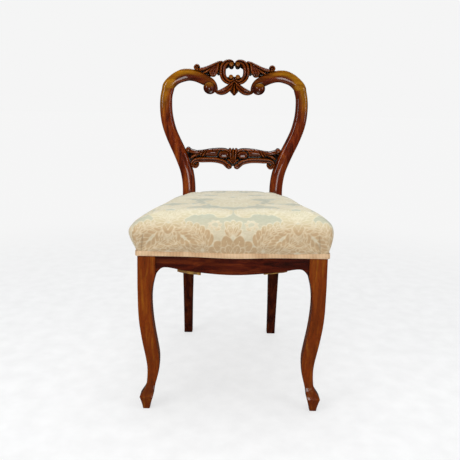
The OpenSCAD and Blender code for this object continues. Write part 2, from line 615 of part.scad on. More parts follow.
// square section with softened edges, standing in from the outer corner at the origin
function square_section(low, high, z, c) = let (b = foot_setback * pow(cut(1 - z / (0.947 * rail_low),
    0, 1), 2))
    [for (p = [[low + c, low], [high - c, low], [high, low + c], [high, high - c], [high - c, high],
        [low + c, high],
        [low, high - c], [low, low + c]]) [p[0], p[1] + b, z]];

front_tenon_y = rail_setback + (rail_thickness - tenon_thickness) / 2;
module front_leg() difference() {
    translate([half_front, 0, 0]) mirrored()
        skin([for (r = leg_rows) square_section(r[1], r[2], r[0], edge_softening)]);
    // mortise for the front rail
    translate([half_front - post_size - cut_over, front_tenon_y, tenon_low])
        cube([front_tenon_depth + mortise_spare + cut_over, tenon_thickness, tenon_high - tenon_low]);
    // mortise for the side rail
    side_tenon_at(post_size - tenon_depth + mortise_spare, cut_over, side_front_x);
}

module front_leg_left() color([0.5, 0.22, 0.08]) placed() mirrored() front_leg();
module front_leg_right() color([0.5, 0.22, 0.08]) placed() front_leg();

// seat rails

rail_reach = half_front - post_size;
edge_rows = [for (r = edge_shares) [r[0] * rail_reach, show_line - r[1] * (show_line - front_low)]];
function front_edge(x) = look(edge_rows, abs(x), 1);

bow_stations = [for (i = [-8 : 8]) i / 8 * bow_half];
function bowed_plan(setback, depth, thickness) = concat(
    [[-rail_reach, setback]], [for (x = bow_stations) [x, setback - depth * bow(x)]],
        [[rail_reach, setback]],
    [[rail_reach, setback + thickness]],
    [for (i = [len(bow_stations) - 1 : -1 : 0]) let (x = bow_stations[i]) [x,
        rail_setback + rail_thickness - front_bow * bow(x)]],
    [[-rail_reach, setback + thickness]]);

module front_rail() color([0.22, 0.08, 0.04]) placed() difference() {
    front_rail_form();
    both_sides() at_front_rail() screw_bore(screw_length);
}
module front_rail_form() {
    // polished part below the show line, with its shaped lower edge
    intersection() {
        translate([0, 0, front_low - cut_over])
            linear_extrude(show_line - front_low + cut_over)
            polygon(bowed_plan(rail_setback, front_bow, rail_thickness));
        translate([0, cut_over * 2, 0]) rotate([90, 0, 0]) linear_extrude(cut_over * 4)
            polygon(concat([for (i = [len(edge_rows) - 1 : -1 : 1]) [-edge_rows[i][0],
                edge_rows[i][1]]], edge_rows,
                [[rail_reach, show_line], [-rail_reach, show_line]]));
    }
    // upholstered part above it, flush with the posts
    translate([0, 0, show_line]) linear_extrude(post_height - show_line)
        polygon(bowed_plan(0, hem_bow, rail_setback + rail_thickness));
    both_sides() translate([rail_reach - tenon_thickness, front_tenon_y, tenon_low])
        cube([front_tenon_depth + tenon_thickness, tenon_thickness, tenon_high - tenon_low]);
}

side_front_outer = half_front - side_front_inset;
side_rear_outer = stile_outer - side_front_inset;
side_front_x = side_front_outer - rail_thickness / 2;
side_rear_x = side_rear_outer - rail_thickness / 2;
// outer face of the side rail at depth y
function side_x(y) = mix(side_front_outer, side_rear_outer, (y - post_size) / (seat_depth - post_size));

module side_rail() difference() {
    union() {
        translate([0, 0, rail_low]) linear_extrude(post_height - rail_low)
            polygon([[side_front_outer - rail_thickness, post_size], [side_front_outer, post_size],
                [side_rear_outer, seat_depth], [side_rear_outer - rail_thickness, seat_depth]]);
        side_tenon_at(post_size - tenon_depth + mortise_spare, tenon_depth + mortise_spare, side_front_x);
        side_tenon_at(seat_depth - mortise_spare * 2, tenon_depth + mortise_spare * 2, side_rear_x);
    }
    at_side_front() screw_bore(screw_length);
    at_side_rear() screw_bore(screw_length);
}

module side_rail_left() color([0.3, 0.12, 0.05]) placed() mirrored() side_rail();
module side_rail_right() color([0.3, 0.12, 0.05]) placed() side_rail();

rear_rail_front = seat_depth + rear_rail_setback;
rear_rail_tenon_y = rear_rail_front + (rail_thickness - tenon_thickness) / 2;
module rear_rail() color([0.5, 0.34, 0.18]) placed() difference() {
    union() {
        translate([-stile_inner, rear_rail_front, rail_low])
            cube([2 * stile_inner, rail_thickness, post_height - rail_low]);
        translate([-stile_inner - tenon_depth, rear_rail_tenon_y, tenon_low])
            cube([2 * (stile_inner + tenon_depth), tenon_thickness, tenon_high - tenon_low]);
    }
    both_sides() at_rear_rail() screw_bore(screw_length);
}

// corner blocks and screws

front_rail_back = rail_setback + rail_thickness;
front_screw_x = rail_reach - block_front_run / 2;
side_screw_y = post_size + block_side_run / 2;
rear_block_y = seat_depth - block_rear_side_run;
rear_block_x = stile_inner - block_rear_run;
rear_side_screw_y = seat_depth - block_rear_side_run / 2;
rear_screw_x = stile_inner - block_rear_run / 3;

// screw standing head down at the origin, its point upwards
module screw(length) difference() {
    union() {
        cylinder(d = screw_head_diameter, h = screw_head_height, $fn = 14);
        cylinder(d = screw_diameter, h = length, $fn = 14);
    }
    translate([-screw_head_diameter, -slot_width / 2, -slot_depth])
        cube([2 * screw_head_diameter, slot_width, 2 * slot_depth]);
}
module screw_bore(length) {
    cylinder(d = screw_diameter + 2 * glue_gap, h = length + mortise_spare, $fn = 14);
    translate([0, 0, screw_head_height - cut_over]) cylinder(d = screw_pocket_diameter, h = cut_over,
        $fn = 14);
}

screw_length = screw_head_height + screw_flat + screw_into_rail;
// the four kinds of screw place, each turned so that its point enters the rail
module at_front_rail() translate([front_screw_x, front_rail_back + screw_flat + screw_head_height,
    screw_low])
    rotate([90, 0, 0]) children();
module at_side_front() translate([side_x(side_screw_y) - rail_thickness - screw_flat
    - screw_head_height, side_screw_y,
    screw_high]) rotate([0, 90, 0]) children();
module at_rear_rail() translate([rear_screw_x, rear_rail_front - screw_flat - screw_head_height, screw_low])
    rotate([-90, 0, 0]) children();
module at_side_rear() translate([side_x(rear_side_screw_y) - rail_thickness - screw_flat
    - screw_head_height,
    rear_side_screw_y, screw_high]) rotate([0, 90, 0]) children();

module corner_block_front() difference() {
    translate([0, 0, block_low]) linear_extrude(block_high - block_low)
        polygon([[rail_reach - block_front_run, front_rail_back], [rail_reach, front_rail_back],
            [rail_reach, post_size], [side_front_outer - rail_thickness, post_size],
            [side_x(post_size + block_side_run) - rail_thickness, post_size + block_side_run]]);
    at_front_rail() screw_bore(screw_length);
    at_side_front() screw_bore(screw_length);
}

module corner_block_rear() difference() {
    translate([0, 0, block_low]) linear_extrude(block_high - block_low)
        polygon([[side_x(rear_block_y) - rail_thickness, rear_block_y],
            [side_rear_outer - rail_thickness, seat_depth],
            [stile_inner, seat_depth], [stile_inner, rear_rail_front], [rear_block_x, rear_rail_front]]);
    at_rear_rail() screw_bore(screw_length);
    at_side_rear() screw_bore(screw_length);
}

module corner_block_front_left() color([0.6, 0.42, 0.24]) placed() mirrored() corner_block_front();
module corner_block_front_right() color([0.6, 0.42, 0.24]) placed() corner_block_front();
module corner_block_rear_left() color([0.6, 0.42, 0.24]) placed() mirrored() corner_block_rear();
module corner_block_rear_right() color([0.6, 0.42, 0.24]) placed() corner_block_rear();

module corner_block_screws() color([0.5, 0.5, 0.5]) placed() both_sides() {
    at_front_rail() screw(screw_length);
    at_side_front() screw(screw_length);
    at_rear_rail() screw(screw_length);
    at_side_rear() screw(screw_length);
}

// webbing

strap_end_y = rear_rail_front + rail_thickness - strap_nail_margin;
strap_level = rail_low - strap_nail_gap;
// middle of lengthwise strap i at depth y: the straps draw together towards the back
function strap_x(i, y) = i * mix(strap_pitch, rear_strap_pitch,
    cut((y - front_rail_back) / (rear_rail_front - front_rail_back), 0, 1));
// stations of a strap from its loose front end to its nailed back end: depth, height of the upper side, and
// the same for the lower side; x is taken at the front rail
function strap_stations(x) = let (f = rail_setback - front_bow * bow(x) + strap_nail_margin,
    zf = front_edge(x) - strap_nail_gap, t = strap_thickness, m = front_rail_back - front_bow * bow(x))
    [[[f, zf - strap_tail], [f + t, zf - strap_tail]], [[f, zf], [f + t, zf - t]], [[m, zf], [m, zf - t]],
        [[front_rail_back + strap_slope, strap_level], [front_rail_back + strap_slope, strap_level - t]],
        [[rear_rail_front, strap_level], [rear_rail_front, strap_level - t]],
        [[strap_end_y, strap_level], [strap_end_y, strap_level - t]]];
module lengthwise_strap(i) {
    across = [for (k = [0 : strap_columns]) (k / strap_columns - 0.5) * strap_width];
    ribbon([for (k = [0 : 5]) [for (u = across) strap_point(i, u, k, 0)]],
        [for (k = [0 : 5]) [for (u = across) strap_point(i, u, k, 1)]]);
}
function strap_point(i, u, k, side) = let (p = strap_stations(i * strap_pitch + u)[k][side])
    [strap_x(i, p[0]) + u, p[0], p[1]];

module webbing_lengthwise() color([0.72, 0.56, 0.32]) placed() for (i = [-1 : 1]) lengthwise_strap(i);

// crosswise straps pass over and under the lengthwise ones in turn
function weave(x0, side) = [for (k = [-0.5, 0.5]) each
    [for (end = k < 0 ? [1, 0] : [0, 1]) [x0 + k * (strap_width + 2 * strap_thickness * (1 + 2 * end)),
        strap_level + (end == 1 ? 0 : side * (strap_thickness + weave_gap))]]];
function weave_line(y, turn) = let (out = side_x(y) - strap_nail_margin, inner = side_x(y) - rail_thickness)
    concat([[-out, strap_level], [-inner, strap_level]], weave(strap_x(-1, y), turn), weave(0, -turn),
        weave(strap_x(1, y), turn), [[inner, strap_level], [out, strap_level]]);

module crosswise_strap(y0, turn) {
    rows = [for (k = [0, 1]) let (y = y0 + (k - 0.5) * strap_width) [for (p = weave_line(y,
        turn)) [p[0], y, p[1]]]];
    ribbon(rows, [for (row = rows) [for (p = row) p - [0, 0, strap_thickness]]]);
}

module webbing_crosswise() color([0.7, 0.54, 0.3]) placed() for (i = [0 : 2])
    crosswise_strap(cross_strap_shares[i] * seat_depth, i == 1 ? -1 : 1);

// coil springs, drawn in at the waist

turn_steps = 8;
wire_sides = 6;
spring_foot = strap_level + strap_thickness + weave_gap + layer_gap;
function spring_path(steps) = [for (i = [0 : steps]) let (t = i / steps, a = i * 360 / turn_steps,
    r = spring_diameter / 2 * (1 - 0.26 * sin(180 * t)) - spring_wire / 2)
    [r * cos(a), r * sin(a), spring_wire / 2 + (spring_height - spring_wire) * (t - 0.06 * sin(360 * t))]];
spring_steps = round(spring_turns * turn_steps);
spring_line = spring_path(spring_steps);
spring_gap = min([for (i = [0 : spring_steps - turn_steps], k = [-2 : 2])
    let (j = i + turn_steps + k) if (j <= spring_steps) norm(spring_line[j] - spring_line[i])])
        - spring_wire;
echo(str("least gap between the turns of a spring, in mm: ", spring_gap));

module spring() skin([for (i = [0 : spring_steps]) let (a = i * 360 / turn_steps, p = spring_line[i])
    [for (k = [0 : wire_sides - 1]) let (b = -k * 360 / wire_sides) p
        + spring_wire / 2 * [cos(a) * cos(b), sin(a) * cos(b), sin(b)]]]);

module seat_springs() color([0.45, 0.45, 0.46]) placed() {
    for (place = spring_place_shares) let (y = place[1] * seat_depth) translate([strap_x(place[0], y),
        y, spring_foot]) spring();
}

// seat outline and its layers

seat_middle = [0, seat_depth / 2];
crown_height = post_height + crown_rise;
bulge_height = post_height + bulge_rise;
dome_start = mix(bulge_height, crown_height, 0.4667);
hem_front_reach = half_front + hem_out - hem_radius;
hem_side_front = hem_radius - hem_out;
notch_y = seat_depth - stile_clearance;
notch_inner = stile_inner - stile_clearance;
hem_back = rear_rail_front + rail_thickness + hem_out;
notch_reach = side_x(notch_y) + hem_out + side_front_inset - cover_thickness - layer_gap;
function hem_side(y) = y < post_size ? half_front + hem_out : side_x(y) + hem_out + side_front_inset;

// right half of the outline, from the middle of the front round to the middle of the back:
// x, y, outward direction, share of the bulge
outline_front = [for (s = front_station_shares) let (x = s * hem_front_reach)
    [x, -hem_out - hem_bow * bow(x), 0, -1, 1]];
outline_corner = [for (a = [-60, -30, 0])
    [hem_front_reach + hem_radius * cos(a), hem_side_front + hem_radius * sin(a), cos(a), sin(a), 1]];
outline_side = [for (s = side_station_shares) let (y = mix(post_size, notch_y, s))
    [hem_side(y), y, 1, 0, 1 - 0.5 * pow(s, 4)]];
outline_notch = [[hem_side(notch_y), notch_y, 1, 1, 0], [notch_inner, notch_y, 1, 1, 0],
    [notch_inner, hem_back, 1, 1, 0]];
outline_back = [for (s = back_station_shares) [notch_inner * s, hem_back, 0, 1, 0.25]];
half_outline = concat(outline_front, outline_corner, outline_side, outline_notch, outline_back);
last_half = len(half_outline) - 1;
outline = concat(half_outline, [[0, hem_back, 0, 1, 0.25]],
    [for (i = [last_half : -1 : 1]) let (p = half_outline[i]) [-p[0], p[1], -p[2], p[3], p[4]]]);

// one ring of the seat: moved out by bulge, in by inset, and drawn in towards the middle by a share
function seat_ring(z, bulge, inset, inward) = [for (p = outline)
    let (c = mix([p[0], p[1]], seat_middle, inward), d = bulge * p[4] - inset)
    [c[0] + p[2] * d, c[1] + p[3] * d, z]];
function low_rings(bulge, inset, z0) = [for (s = cover_low_shares) let (z = mix(hem_low, bulge_height,
    s[0]))
    if (z >= z0) seat_ring(z, bulge * s[1], inset, 0)];
function high_rings(bulge, inset) = [for (s = cover_high_shares)
    seat_ring(mix(bulge_height, dome_start, s[0]) - inset * s[0] / 2, bulge * s[1], inset, 0)];
function dome_rings(drop, inset, rows) = [for (i = rows) let (s = dome_shares[i])
    seat_ring(mix(dome_start, crown_height, s[1]) - drop, 0, inset * (1 - s[0]), s[0])];
function reversed(list) = [for (i = [len(list) - 1 : -1 : 0]) list[i]];

// the cover is the space between its outside and its inside, open at the hem
// the walls round the stiles end on top of the rails
module seat_cover() color([0.72, 0.72, 0.62]) placed() difference() {
    skin(concat(low_rings(side_bulge, 0, hem_low), high_rings(side_bulge, 0),
        dome_rings(0, 0, [0 : len(dome_shares) - 1])));
    skin(concat([seat_ring(hem_low - cut_over, 0, cover_thickness, 0)],
        low_rings(side_bulge, cover_thickness, hem_low), high_rings(side_bulge, cover_thickness),
        dome_rings(cover_thickness, cover_thickness, inner_dome_rows)));
    translate([-notch_reach, seat_depth - cut_over, hem_low - cut_over])
        cube([2 * notch_reach, hem_back - cover_thickness - layer_gap - seat_depth + cut_over,
            post_height + layer_gap - hem_low + cut_over]);
}

canvas_low = post_height;
canvas_rise = spring_foot + spring_height + layer_gap - canvas_low;
// how far in towards the middle, rise over the springs
canvas_shares = [[0.055, 0], [0.15, 0], [0.24, 1], [0.96, 1.04]];
function canvas_rings(z) = [for (s = canvas_shares) seat_ring(z + canvas_rise * s[1], 0, 0, s[0])];

module spring_canvas() color([0.66, 0.55, 0.38]) placed()
    skin(concat(reversed(canvas_rings(canvas_low)), canvas_rings(canvas_low + canvas_thickness)));

stuffing_low = canvas_low + canvas_thickness + layer_gap;
stuffing_inset = cover_thickness + layer_gap;
module seat_stuffing() color([0.6, 0.5, 0.36]) placed()
    skin(concat(reversed(canvas_rings(stuffing_low)), low_rings(side_bulge, stuffing_inset, stuffing_low),
        high_rings(side_bulge, stuffing_inset),
            dome_rings(stuffing_inset, stuffing_inset, inner_dome_rows)));

// ribbed braid along the cover's hem

function braid_section(p, out) = let (a = [p[0] + p[2] * out, p[1] + p[3] * out],
    b = [p[0] + p[2] * (out + braid_thickness), p[1] + p[3] * (out + braid_thickness)])
    [[a[0], a[1], show_line + braid_height], [b[0], b[1], show_line + braid_height - braid_thickness / 2],
        [b[0], b[1], show_line + braid_thickness / 2], [a[0], a[1], show_line]];
side_line = concat(outline_front, outline_corner, outline_side, [[hem_side(notch_y), notch_y, 1, 0, 0]]);
front_line = concat([for (i = [len(side_line) - 1 : -1 : 1]) let (p = side_line[i]) [-p[0], p[1],
    -p[2], p[3], p[4]]],
    side_line);
back_line = [for (k = [1, 0, -1]) [k * notch_inner, hem_back, 0, 1, 0]];

module gimp_braid() color([0.78, 0.62, 0.48]) placed() {
    skin([for (p = front_line) braid_section(p, 0)]);
    skin([for (p = back_line) braid_section(p, 0)]);
}

back_leg_left();
back_leg_right();
crest_rail();
crest_dowels();
cross_rail();
front_leg_left();
front_leg_right();
front_rail();
side_rail_left();
side_rail_right();
rear_rail();
corner_block_front_left();
corner_block_front_right();
corner_block_rear_left();
corner_block_rear_right();
corner_block_screws();
webbing_lengthwise();
webbing_crosswise();
seat_springs();
spring_canvas();
seat_stuffing();
seat_cover();
gimp_braid();
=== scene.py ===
"""Balloon back dining chair: carved mahogany frame and a sprung seat covered in damask."""

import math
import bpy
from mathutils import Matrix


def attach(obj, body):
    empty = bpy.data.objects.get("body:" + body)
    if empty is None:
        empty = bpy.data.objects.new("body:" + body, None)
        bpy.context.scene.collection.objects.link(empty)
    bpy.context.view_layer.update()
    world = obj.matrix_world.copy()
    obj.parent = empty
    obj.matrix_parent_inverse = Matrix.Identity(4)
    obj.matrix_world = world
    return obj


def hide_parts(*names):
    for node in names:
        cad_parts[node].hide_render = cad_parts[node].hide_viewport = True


bl_info = {
    "name": "Balloon Back Chair",
    "version": (1, 0, 0),
    "blender": (4, 5, 0),
    "location": "3D View > Sidebar > Balloon Chair",
    "description": "Builds a carved balloon back chair over its construction model",
    "category": "Object",
}

import bmesh
import bpy
import numpy as np
from mathutils import Matrix, Vector

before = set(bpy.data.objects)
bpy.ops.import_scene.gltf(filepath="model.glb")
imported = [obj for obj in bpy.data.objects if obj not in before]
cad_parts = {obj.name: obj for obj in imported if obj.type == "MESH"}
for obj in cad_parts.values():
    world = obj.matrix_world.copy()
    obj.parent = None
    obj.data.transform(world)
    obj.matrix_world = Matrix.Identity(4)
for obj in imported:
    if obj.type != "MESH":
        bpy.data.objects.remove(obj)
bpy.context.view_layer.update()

MM = 0.001
# the chair is drawn from the front of its posts, and stands with the middle of its depth over the origin
DEPTH_MIDDLE = 239.9

# main sizes of the frame, in millimetres; its polished faces end at the show line
HALF_FRONT, POST, SEAT_DEPTH = 223.0, 42.0, 392.0
SHOW_LINE, RAIL_TOP = 392.0, 425.0
# roundness of the edges of the front legs and the front rail
ARRIS = 2.2
# thickness of the arms and of the crest's flat carving; faces of the cross rail, behind the hoop's front
HOOP_THICKNESS = 28.0
CREST_GROUND = 23.8
RAIL_FRONT, RAIL_BACK = 3.0, 25.0
# arms and stiles stand wider than their tables say, by this much at most
ARM_SPREAD, STILE_SPREAD = 4.2, 2.5
# depth of the seat's back edge, and of the middle that its cover runs in to
SEAT_BACK, SEAT_MIDDLE = 391.7, 196.0
# webbing: width, pitch and thickness of a strap, and height of its upper side
STRAP_WIDTH, STRAP_PITCH, STRAP_THICKNESS, STRAP_TOP = 56.0, 102.0, 2.0, 349.5
# springs: turns, radii of the coil and of the wire, height between the middles of the end rings, and for each
# spring the strap that it stands on and its share of the seat's depth
COIL_TURNS, COIL_RADIUS, WIRE_RADIUS, COIL_RISE = 3.5, 36.0, 1.6, 80.8
SPRINGS = [(-1, .31), (1, .31), (0, .5408), (-1, .76), (1, .76)]
# the damask repeats every tile, and its front hem lies this far before the front of the posts along the cloth
TILE_WIDTH, TILE_LENGTH, HEM_REACH = 300, 360, 91

# back leg and stile: height, outer edge, inner edge, front face, depth, roundness of the face
STILE = [
    (0, 148, 122, 479, 27, .12), (60, 147.6, 120.8, 459.5, 28.5, .12), (120, 147.6, 119.4, 440, 30, .12),
    (185, 148, 117.6, 422.5, 32, .12), (250, 148.8, 115.6, 408, 34, .1),
    (310, 149.7, 113.6, 395.5, 35.5, .05), (338, 150, 113, 392, 36, 0), (348, 150, 113, 392, 36, 0),
    (428, 150, 113, 392, 36, 0), (446, 150, 113, 392, 36, .15), (470, 150.2, 113, 393.6, 35.2, .6),
    (492, 150.9, 113.2, 395.8, 34.4, 1), (515, 153.4, 115.2, 398.2, 33.6, 1), (540, 159, 119.8, 401, 33, 1),
    (565, 168.6, 128.6, 405.2, 32.4, 1), (590, 179.8, 138.2, 410.2, 31.8, 1),
    (615, 192, 150.2, 415.2, 31.2, 1), (640, 203.2, 162.6, 420.2, 30.6, 1),
    (665, 212.4, 173.4, 425.2, 30, 1), (690, 218.7, 180.6, 430.2, 29.6, 1),
    (715, 222, 185.2, 435.2, 29.2, 1), (741, 223, 186.8, 440.4, 28.8, 1), (765, 221.6, 186, 445.2, 28.4, 1),
    (787, 218, 180.8, 450.4, 28, 1)]
SQUARE_LEG = [
    (0, .1), (.02, .02), (.1, 0), (.3, 0), (.5, 0), (.7, 0), (.9, 0), (.98, .02), (1, .1), (1, .5), (1, .9),
    (.93, 1), (.5, 1), (.07, 1), (0, .9), (0, .5)]
ROUND_LEG = [
    (0, .42), (.03, .265), (.12, .13), (.28, .038), (.5, 0), (.72, .038), (.88, .13), (.97, .265), (1, .42),
    (1, .62), (1, .82), (.9, .98), (.5, 1), (.1, .98), (0, .82), (0, .62)]

# arm of the hoop over the shoulder and into its volute: outer edge x, z, inner edge x, z
ARM = [
    (218, 787, 180.8, 787), (216.8, 795.5, 176.6, 792), (213.4, 804, 171.4, 797.4),
    (207.6, 812.4, 165.8, 802), (199.8, 820.6, 160, 805.8), (190.4, 828.6, 154, 808.8),
    (179.4, 836.4, 147.6, 811.4), (166.6, 843, 141.4, 813.2), (152.4, 847.2, 135, 814.2),
    (137, 848, 129, 814.2), (122, 846.2, 122.6, 813.4), (108, 841.4, 116, 811.6), (95.4, 835.4, 109, 808.8),
    (83.6, 829.6, 101.6, 804.6), (71.8, 823.4, 92.4, 799.4), (61.8, 815.2, 78, 797), (54.8, 805.4, 66, 796),
    (51, 794.6, 59, 793), (50.2, 784.6, 56.4, 786), (53, 776.4, 57.6, 780)]
# turned bosses in the volutes, the bed and the ball on it: x, z, radius, front, back, height of the dome
VOLUTE_BED = (74, 791.6, 20, -.8, 28, 5)
VOLUTE_BALL = (77, 791.8, 16.6, -5.6, 20, 13.28)

# carved runs of the crest: x, z, width, height of the relief
C_SCROLL = [
    (5, 870.5, 6.5, 1), (12, 872.4, 11, 1), (20.4, 871, 14.6, 1), (28.4, 866.2, 17.4, 1),
    (34, 857.6, 19, 1), (36.2, 846, 19.8, 1), (36, 834, 19.8, 1), (32.6, 823, 19.2, 1),
    (26, 814.8, 17.6, 1), (17.6, 810, 15.4, 1), (10.4, 809.4, 12.4, 1), (5, 812.6, 9.4, .98),
    (3.6, 818, 6, .95)]
# narrow leaf, long leaf that ends in the curl, and three reeds of the broad drooping lobe
WING_LEAVES = [
    [(52, 864.4, 5, .84), (58, 860, 6.8, .92), (65.6, 853.6, 8, .97), (73.6, 847.4, 8.2, 1),
     (81.6, 842, 7.8, 1.02), (89.6, 837.6, 6.6, 1), (96, 834.2, 4, .96)],
    [(40, 871, 6, .95), (49, 868.4, 7.8, 1), (60, 863, 8.8, 1.04), (69, 858.6, 9.2, 1.05),
     (78, 854.4, 9.6, 1.05), (87, 850.4, 10.4, 1.04), (96, 847.6, 10.8, 1.03), (105, 846, 10, 1.01),
     (112.5, 845.4, 8.6, .98)]]
DROP_REEDS = [
    [(55, 861.6, 5, .84), (62, 855, 9, .92), (68.6, 847.6, 10.4, 1), (71.6, 840.4, 11, 1.03),
     (71, 833, 9.6, 1.02), (67.6, 827.6, 6, .98)],
    [(52.6, 860, 6, .86), (58.6, 851, 10, .98), (62.6, 841.6, 11.6, 1.05), (65, 833.6, 9.6, 1.03),
     (66, 827, 6, .98)],
    [(50, 864, 6.4, .92), (52.6, 854.4, 9.6, 1.02), (54.8, 845, 11, 1.06), (57.8, 836.4, 10.4, 1.04),
     (62, 829.6, 7, 1)]]
SWAG_LEAF = [
    (2, 809, 8, .9), (6.6, 802, 13, 1), (13.6, 794.4, 17.4, 1.04), (22.4, 787, 20, 1.06),
    (31.6, 781.4, 20.4, 1.06), (41, 778.4, 17, 1.02), (49.6, 777.8, 11, .96), (56, 778.6, 5.4, .9)]
BUD = [
    (0, 806, 5, .8), (0, 799, 9, .9), (0, 790, 13, 1), (0, 782, 16.4, 1.06), (0, 776.6, 14, 1.06),
    (0, 772, 7, 1)]
# boards behind the leaves, highest along their middle and low at their edges: x, z, width, height
CREST_BOARDS = [
    [(38, 858, 22, .36), (60, 848.4, 26, .36), (80, 841, 20, .36), (97, 838, 13, .36), (112, 845, 13, .36)],
    [(46, 846, 12, .34), (49, 833, 8, .34)], [(64, 832, 15, .34), (88, 833, 12, .34)],
    [(113.6, 852.8, 15, .5)] * 2,
    [(8, 864, 18, .42), (20, 861, 15, .42), (28, 854, 11, .42)],
    [(9.6, 858.4, 16, .5), (9.6, 856.4, 15.4, .5)],
    [(8, 820, 15, .4), (19, 817.6, 14, .4), (28, 822, 11, .4)],
    [(0, 821, 11, .34), (0, 812, 18, .34), (0, 800, 14, .34), (0, 787, 28, .34)]]
WING_CURL = [
    (112.5, 845.6, 8.6, 1), (119.4, 848, 7.6, 1.02), (121.6, 854, 6.8, 1.04), (117.6, 859.2, 6, 1.05),
    (111.6, 859.2, 5.4, 1.04), (108.4, 855, 4.4, 1.02)]
# eyes of the C scroll and of the wing's curl: x, z, radius, height
SCROLL_EYES = [(9.7, 863.6, 7.6, 1.14), (10.4, 825, 7.2, 1.12)]
CURL_EYE = (114, 853, 3.8, .9)
# flat carving: half its width, lowest and highest point; depth at which a groove's painted shade is full dark
CREST_BOX, CREST_GROOVE = (127, 762, 881), 1.7

# carved runs of the cross rail, its boards, and the eyes of its middle volutes and corner leaves
REEDED_BAND = [
    (105.6, 562.6, 6.4, .98), (107.4, 557.4, 8.6, 1), (113.6, 553.8, 10, 1.02), (120.2, 557.6, 10.4, 1.02),
    (121, 566.4, 11, 1.02), (114.4, 572.4, 13, 1.02), (104, 574.2, 14.6, 1.02), (92, 574.4, 15.6, 1.02),
    (78, 574.9, 15.4, 1), (64, 575, 15.4, 1), (50, 574, 15.4, 1), (37, 571.2, 15.2, 1),
    (26.4, 567.2, 15, 1), (19.6, 561, 14.6, 1), (14, 555.6, 13.4, .98), (9, 555, 12, .96)]
CURL_BED = [(113.6, 560.4, 13, .6), (113.6, 560, 13, .6)]
BOSS_HOLLOW = [(23.6, 591, 28, .4), (33.8, 591, 28, .4)]
RAIL_BOSS = [(24.2, 591, 21.6, 1), (33.2, 591, 21.6, 1)]
RAIL_LEAVES = [
    [(60, 606.4, 6, 1), (72, 604.4, 6.4, 1), (84, 602, 6.6, 1), (96, 599.8, 7, .98), (106, 599.6, 6, .96)],
    [(44, 597.6, 19, .94), (54, 597.4, 22.4, 1.02), (66, 597.2, 22.6, 1.05), (76, 595.8, 18.4, 1.03),
     (84, 593.6, 12, 1), (90, 591, 7, .95)],
    [(81.6, 602, 6, .94), (85.8, 596, 8, 1.03), (90, 590, 7.6, 1.03), (93.6, 585.6, 4.4, .96)],
    [(90, 600.6, 5.4, .94), (95, 595, 7.4, 1.02), (99.6, 590, 6, .98)],
    [(103, 592.6, 6, .94), (111.6, 589.4, 9, 1.01), (120, 584.6, 9, 1.01), (127, 580, 6, .94)],
    [(139, 604, 10, 1), (129, 600.6, 12, 1.04), (118, 597.8, 11.6, 1.05), (108, 596.6, 9.6, 1.03),
     (99, 597.4, 6, .98)]]
MIDDLE_LEAVES = [
    [(60, 604.6, 8, 1), (50, 605.8, 8.4, 1.04), (40, 607, 7, 1.05), (30, 607.2, 6.4, 1.05),
     (20, 605.4, 6.4, 1.04), (12.6, 600, 6.4, 1.02), (9.8, 592, 5.6, .98), (12, 585, 4, .94)],
    [(2.4, 566, 5, .82), (7, 572, 8, .9), (14, 575.6, 6, .86)],
    [(2.6, 572, 6, .84), (6.2, 583, 8.4, .95), (8.4, 595, 9, 1.02), (9.4, 606.4, 9, 1)]]
PALMETTE = [(0, 568, 5, .8), (0, 579, 8, .96), (0, 591, 9, 1.06), (0, 602, 8.4, 1.06), (0, 609, 4.4, 1)]
RAIL_BOARDS = [
    [(0, 592, 26, .36), (30, 590, 34, .36), (60, 588, 36, .36), (90, 584, 30, .36), (120, 583, 32, .36),
     (140, 591, 30, .36)], [(116, 570, 24, .36), (134, 580, 30, .36)],
    [(0, 568, 24, .36), (16, 574, 24, .36)]]
RAIL_EYES = [(12.4, 556, 8, 1.06), (136.4, 604.6, 7.6, 1.06)]
RAIL_BOX, RAIL_GROOVE = (150, 545, 617), 1.5

# relief across a run, from its outer edge at -1 to its inner edge at 1: place, height
COVE = [
    (-1, .56), (-.9, .84), (-.65, 1), (-.34, .94), (-.2, .78), (-.1, .64), (0, .76), (.2, .93), (.5, .98),
    (.78, .88), (.92, .74), (1, .52)]
LOBE = [(-1, .6), (-.86, .84), (-.5, .98), (0, 1), (.5, .93), (.84, .78), (1, .58)]
RIDGE = [(-1, .52), (-.7, .74), (-.3, .92), (0, 1), (.2, .9), (.6, .72), (1, .52)]
REEDS = [
    (-1, .6), (-.9, .86), (-.6, 1), (-.25, .93), (-.08, .78), (.08, .9), (.45, 1), (.8, .94), (.93, .8),
    (1, .6)]
SOFT_REED = [(-1, .78), (-.8, .9), (-.4, .98), (0, 1), (.4, .98), (.8, .9), (1, .78)]
FOLD = [
    (-1, .56), (-.84, .84), (-.45, 1), (-.1, .96), (.08, .78), (.24, .86), (.55, .95), (.84, .82), (1, .56)]
SPINE = [
    (-1, .6), (-.82, .66), (-.6, .5), (-.42, .62), (-.24, .92), (0, 1), (.24, .92), (.42, .62), (.6, .5),
    (.82, .66), (1, .6)]
BEAD = [(-1, .56), (-.7, .86), (-.3, .98), (0, 1), (.3, .98), (.7, .86), (1, .56)]
EYE = [(-1, .62), (-.94, .78), (-.8, .9), (-.55, .97), (0, 1), (.55, .97), (.8, .9), (.94, .78), (1, .62)]
FLAT = [(-1, 1), (1, 1)]
ROOF = [(-1, .55), (0, 1), (1, .55)]

